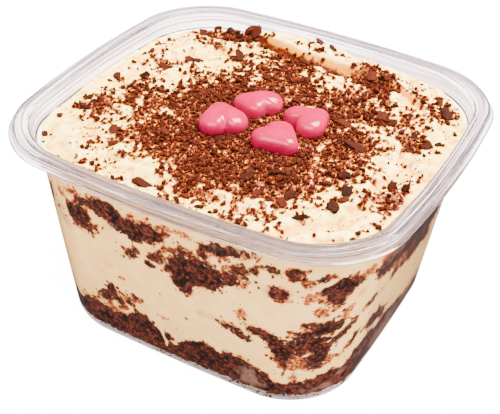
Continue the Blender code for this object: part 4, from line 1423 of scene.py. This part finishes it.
class DESSERT_OT_topping(bpy.types.Operator):
    """Scatters cocoa dust, chocolate crumbs and shavings over the cream"""

    bl_idname = "dessert.topping"
    bl_label = "Topping"

    def execute(self, context):
        food = context.scene.dessert_food
        chocolate = chocolate_material(food)
        kinds = (("chocolate_dust", (0.5, 1.0), grain_shape(), 0.35),
                 ("chocolate_crumbs", (0.4, 0.9), lump_shape(0), 0.0))
        for (name, flatness, shape, lightness), (source, places, radii) in zip(kinds, topping_lumps(food)):
            centres = seat_on_cream(places, radii, SINK)
            mesh = scatter_mesh(name, source, centres, radii * MM, flatness, shape, lightness)
            add_piece(name, mesh, chocolate)
        add_piece("chocolate_shavings", shaving_mesh(), chocolate)
        return {'FINISHED'}


class DESSERT_OT_wall_crumbs(bpy.types.Operator):
    """Scatters crumbs in the cream at the wall, mostly near the sponge"""

    bl_idname = "dessert.wall_crumbs"
    bl_label = "Crumbs at the wall"

    def execute(self, context):
        food = context.scene.dessert_food
        source, way, height, radii = wall_crumb_places(food)
        centres = at_wall(way, height, 0.42 - 0.7 * radii)
        mesh = scatter_mesh("wall_crumbs", source, centres, radii * MM, (0.6, 1.0), lump_shape(0), 0.0)
        add_piece("wall_crumbs", mesh, chocolate_material(food))
        return {'FINISHED'}


def place_round(azimuth, elevation, distance):
    """Place at a way round from the front, towards +X, and at an angle above the floor."""
    flat = math.cos(elevation)
    return distance * Vector((math.sin(azimuth) * flat, -math.cos(azimuth) * flat, math.sin(elevation)))


def add_softbox(name, place, aim, size, power):
    """Rectangular area light that faces a point; sizes in metres and power in watts."""
    light = bpy.data.lights.new(name, 'AREA')
    light.shape = 'RECTANGLE'
    light.size, light.size_y = size
    light.energy = power
    light.color = LAMP_COLOUR
    lamp = bpy.data.objects.new(name, light)
    lamp.location = place
    lamp.rotation_euler = (aim - place).to_track_quat('-Z', 'Y').to_euler()
    bpy.context.scene.collection.objects.link(lamp)


def seen_or_lit(tree, stage, lit):
    """Brightness of the stage: the settings' own where it is looked at straight and where it
    is seen through the sheet, and another where it lights or is mirrored."""
    path = add_node(tree, "ShaderNodeLightPath").outputs
    glow = lit
    for ray, seen in (("Is Transmission Ray", stage.room_through), ("Is Camera Ray", stage.room_seen)):
        glow = add_node(tree, "ShaderNodeMath", {
            0: path[ray], 1: seen - lit, 2: glow}, operation='MULTIPLY_ADD').outputs[0]
    return glow


def aim_square(ahead):
    """Directions to the right of and above a view."""
    right = ahead.cross(Vector((0, 0, 1))).normalized()
    return right, right.cross(ahead)


def camera_matrix(stage):
    """Place and turn of the camera: it looks at the middle of the foot, then aims a little
    up and sideways, and rolls about its own axis."""
    place = place_round(stage.azimuth, stage.elevation, stage.distance)
    ahead = -place.normalized()
    right, above = aim_square(ahead)
    ahead = (ahead + stage.aim_rise * above + stage.aim_side * right).normalized()
    right, above = aim_square(ahead)
    rolled = math.cos(stage.roll) * right + math.sin(stage.roll) * above
    above = math.cos(stage.roll) * above - math.sin(stage.roll) * right
    return Matrix.Translation(place) @ Matrix((rolled, above, -ahead)).transposed().to_4x4()


class DESSERT_OT_stage(bpy.types.Operator):
    """Builds the pale floor, the soft lights and the camera"""

    bl_idname = "dessert.stage"
    bl_label = "Stage"

    def execute(self, context):
        stage = context.scene.dessert_stage
        material, tree, output, read = new_material("matt_white_board", (("tone", 0.4, 1.0, 0.5),))
        colour = lay_coats(tree, stage.floor, ((read["tone"], (0.3, 0.7, 0.0, 0.02), stage.floor_cloud),))
        board = add_node(tree, "ShaderNodeBsdfPrincipled", {
            "Base Color": colour, "Roughness": 0.9, "Specular IOR Level": 0.1,
            "Emission Color": (1, 1, 1, 1), "Emission Strength": seen_or_lit(tree, stage, FLOOR_GLOW)})
        tree.links.new(board.outputs[0], output)
        corners = FLOOR_HALF * np.array([(-1, -1, 0), (1, -1, 0), (1, 1, 0), (-1, 1, 0)])
        floor = bpy.data.objects.new("floor", build_mesh("floor", corners, np.array([(0, 1, 2, 3)])))
        floor.data.materials.append(material)
        context.scene.collection.objects.link(floor)
        floor.visible_glossy = False

        world = bpy.data.worlds.new("studio")
        world.use_nodes = True
        tree = world.node_tree
        background = tree.nodes["Background"]
        tree.links.new(seen_or_lit(tree, stage, stage.room_light), background.inputs["Strength"])
        background.inputs["Color"].default_value = (*ROOM_COLOUR, 1)
        context.scene.world = world
        middle = Vector((0, 0, HEIGHT * 0.7))
        for name, azimuth, elevation, distance, size, power in SOFTBOXES:
            place = place_round(math.radians(azimuth), math.radians(elevation), distance)
            add_softbox(name, middle + place, middle, size, power)

        camera = bpy.data.objects.new("camera", bpy.data.cameras.new("camera"))
        camera.data.lens = stage.lens
        camera.data.sensor_width = 36.0
        camera.data.clip_start = 0.01
        camera.matrix_world = camera_matrix(stage)
        context.scene.collection.objects.link(camera)
        context.scene.camera = camera
        return {'FINISHED'}


SETTINGS = {"dessert_tub": TubSettings, "dessert_food": FoodSettings, "dessert_stage": StageSettings}
OPERATORS = (DESSERT_OT_tub, DESSERT_OT_layers, DESSERT_OT_hearts, DESSERT_OT_topping,
             DESSERT_OT_wall_crumbs, DESSERT_OT_stage)


class DESSERT_PT_panel(bpy.types.Panel):
    """Lists the settings and the steps"""

    bl_label = "Layered dessert tub"
    bl_idname = "DESSERT_PT_panel"
    bl_space_type = 'VIEW_3D'
    bl_region_type = 'UI'
    bl_category = "Dessert"

    def draw(self, context):
        for scene_name in SETTINGS:
            settings = getattr(context.scene, scene_name)
            column = self.layout.column()
            for name in settings.__annotations__:
                column.prop(settings, name)
        for operator in OPERATORS:
            self.layout.operator(operator.bl_idname)


CLASSES = (*SETTINGS.values(), *OPERATORS, DESSERT_PT_panel)


def register():
    """Registers the classes and hangs the settings on the scene."""
    for item in CLASSES:
        bpy.utils.register_class(item)
    for name, group in SETTINGS.items():
        setattr(bpy.types.Scene, name, bpy.props.PointerProperty(type=group))


def unregister():
    """Takes the settings and the classes away again."""
    for name in SETTINGS:
        delattr(bpy.types.Scene, name)
    for item in reversed(CLASSES):
        bpy.utils.unregister_class(item)


def main():
    """Registers the add-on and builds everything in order."""
    register()
    bpy.ops.dessert.stage()
    bpy.ops.dessert.tub()
    bpy.ops.dessert.layers()
    bpy.ops.dessert.hearts()
    bpy.ops.dessert.topping()
    bpy.ops.dessert.wall_crumbs()


if __name__ == "__main__":
    main()
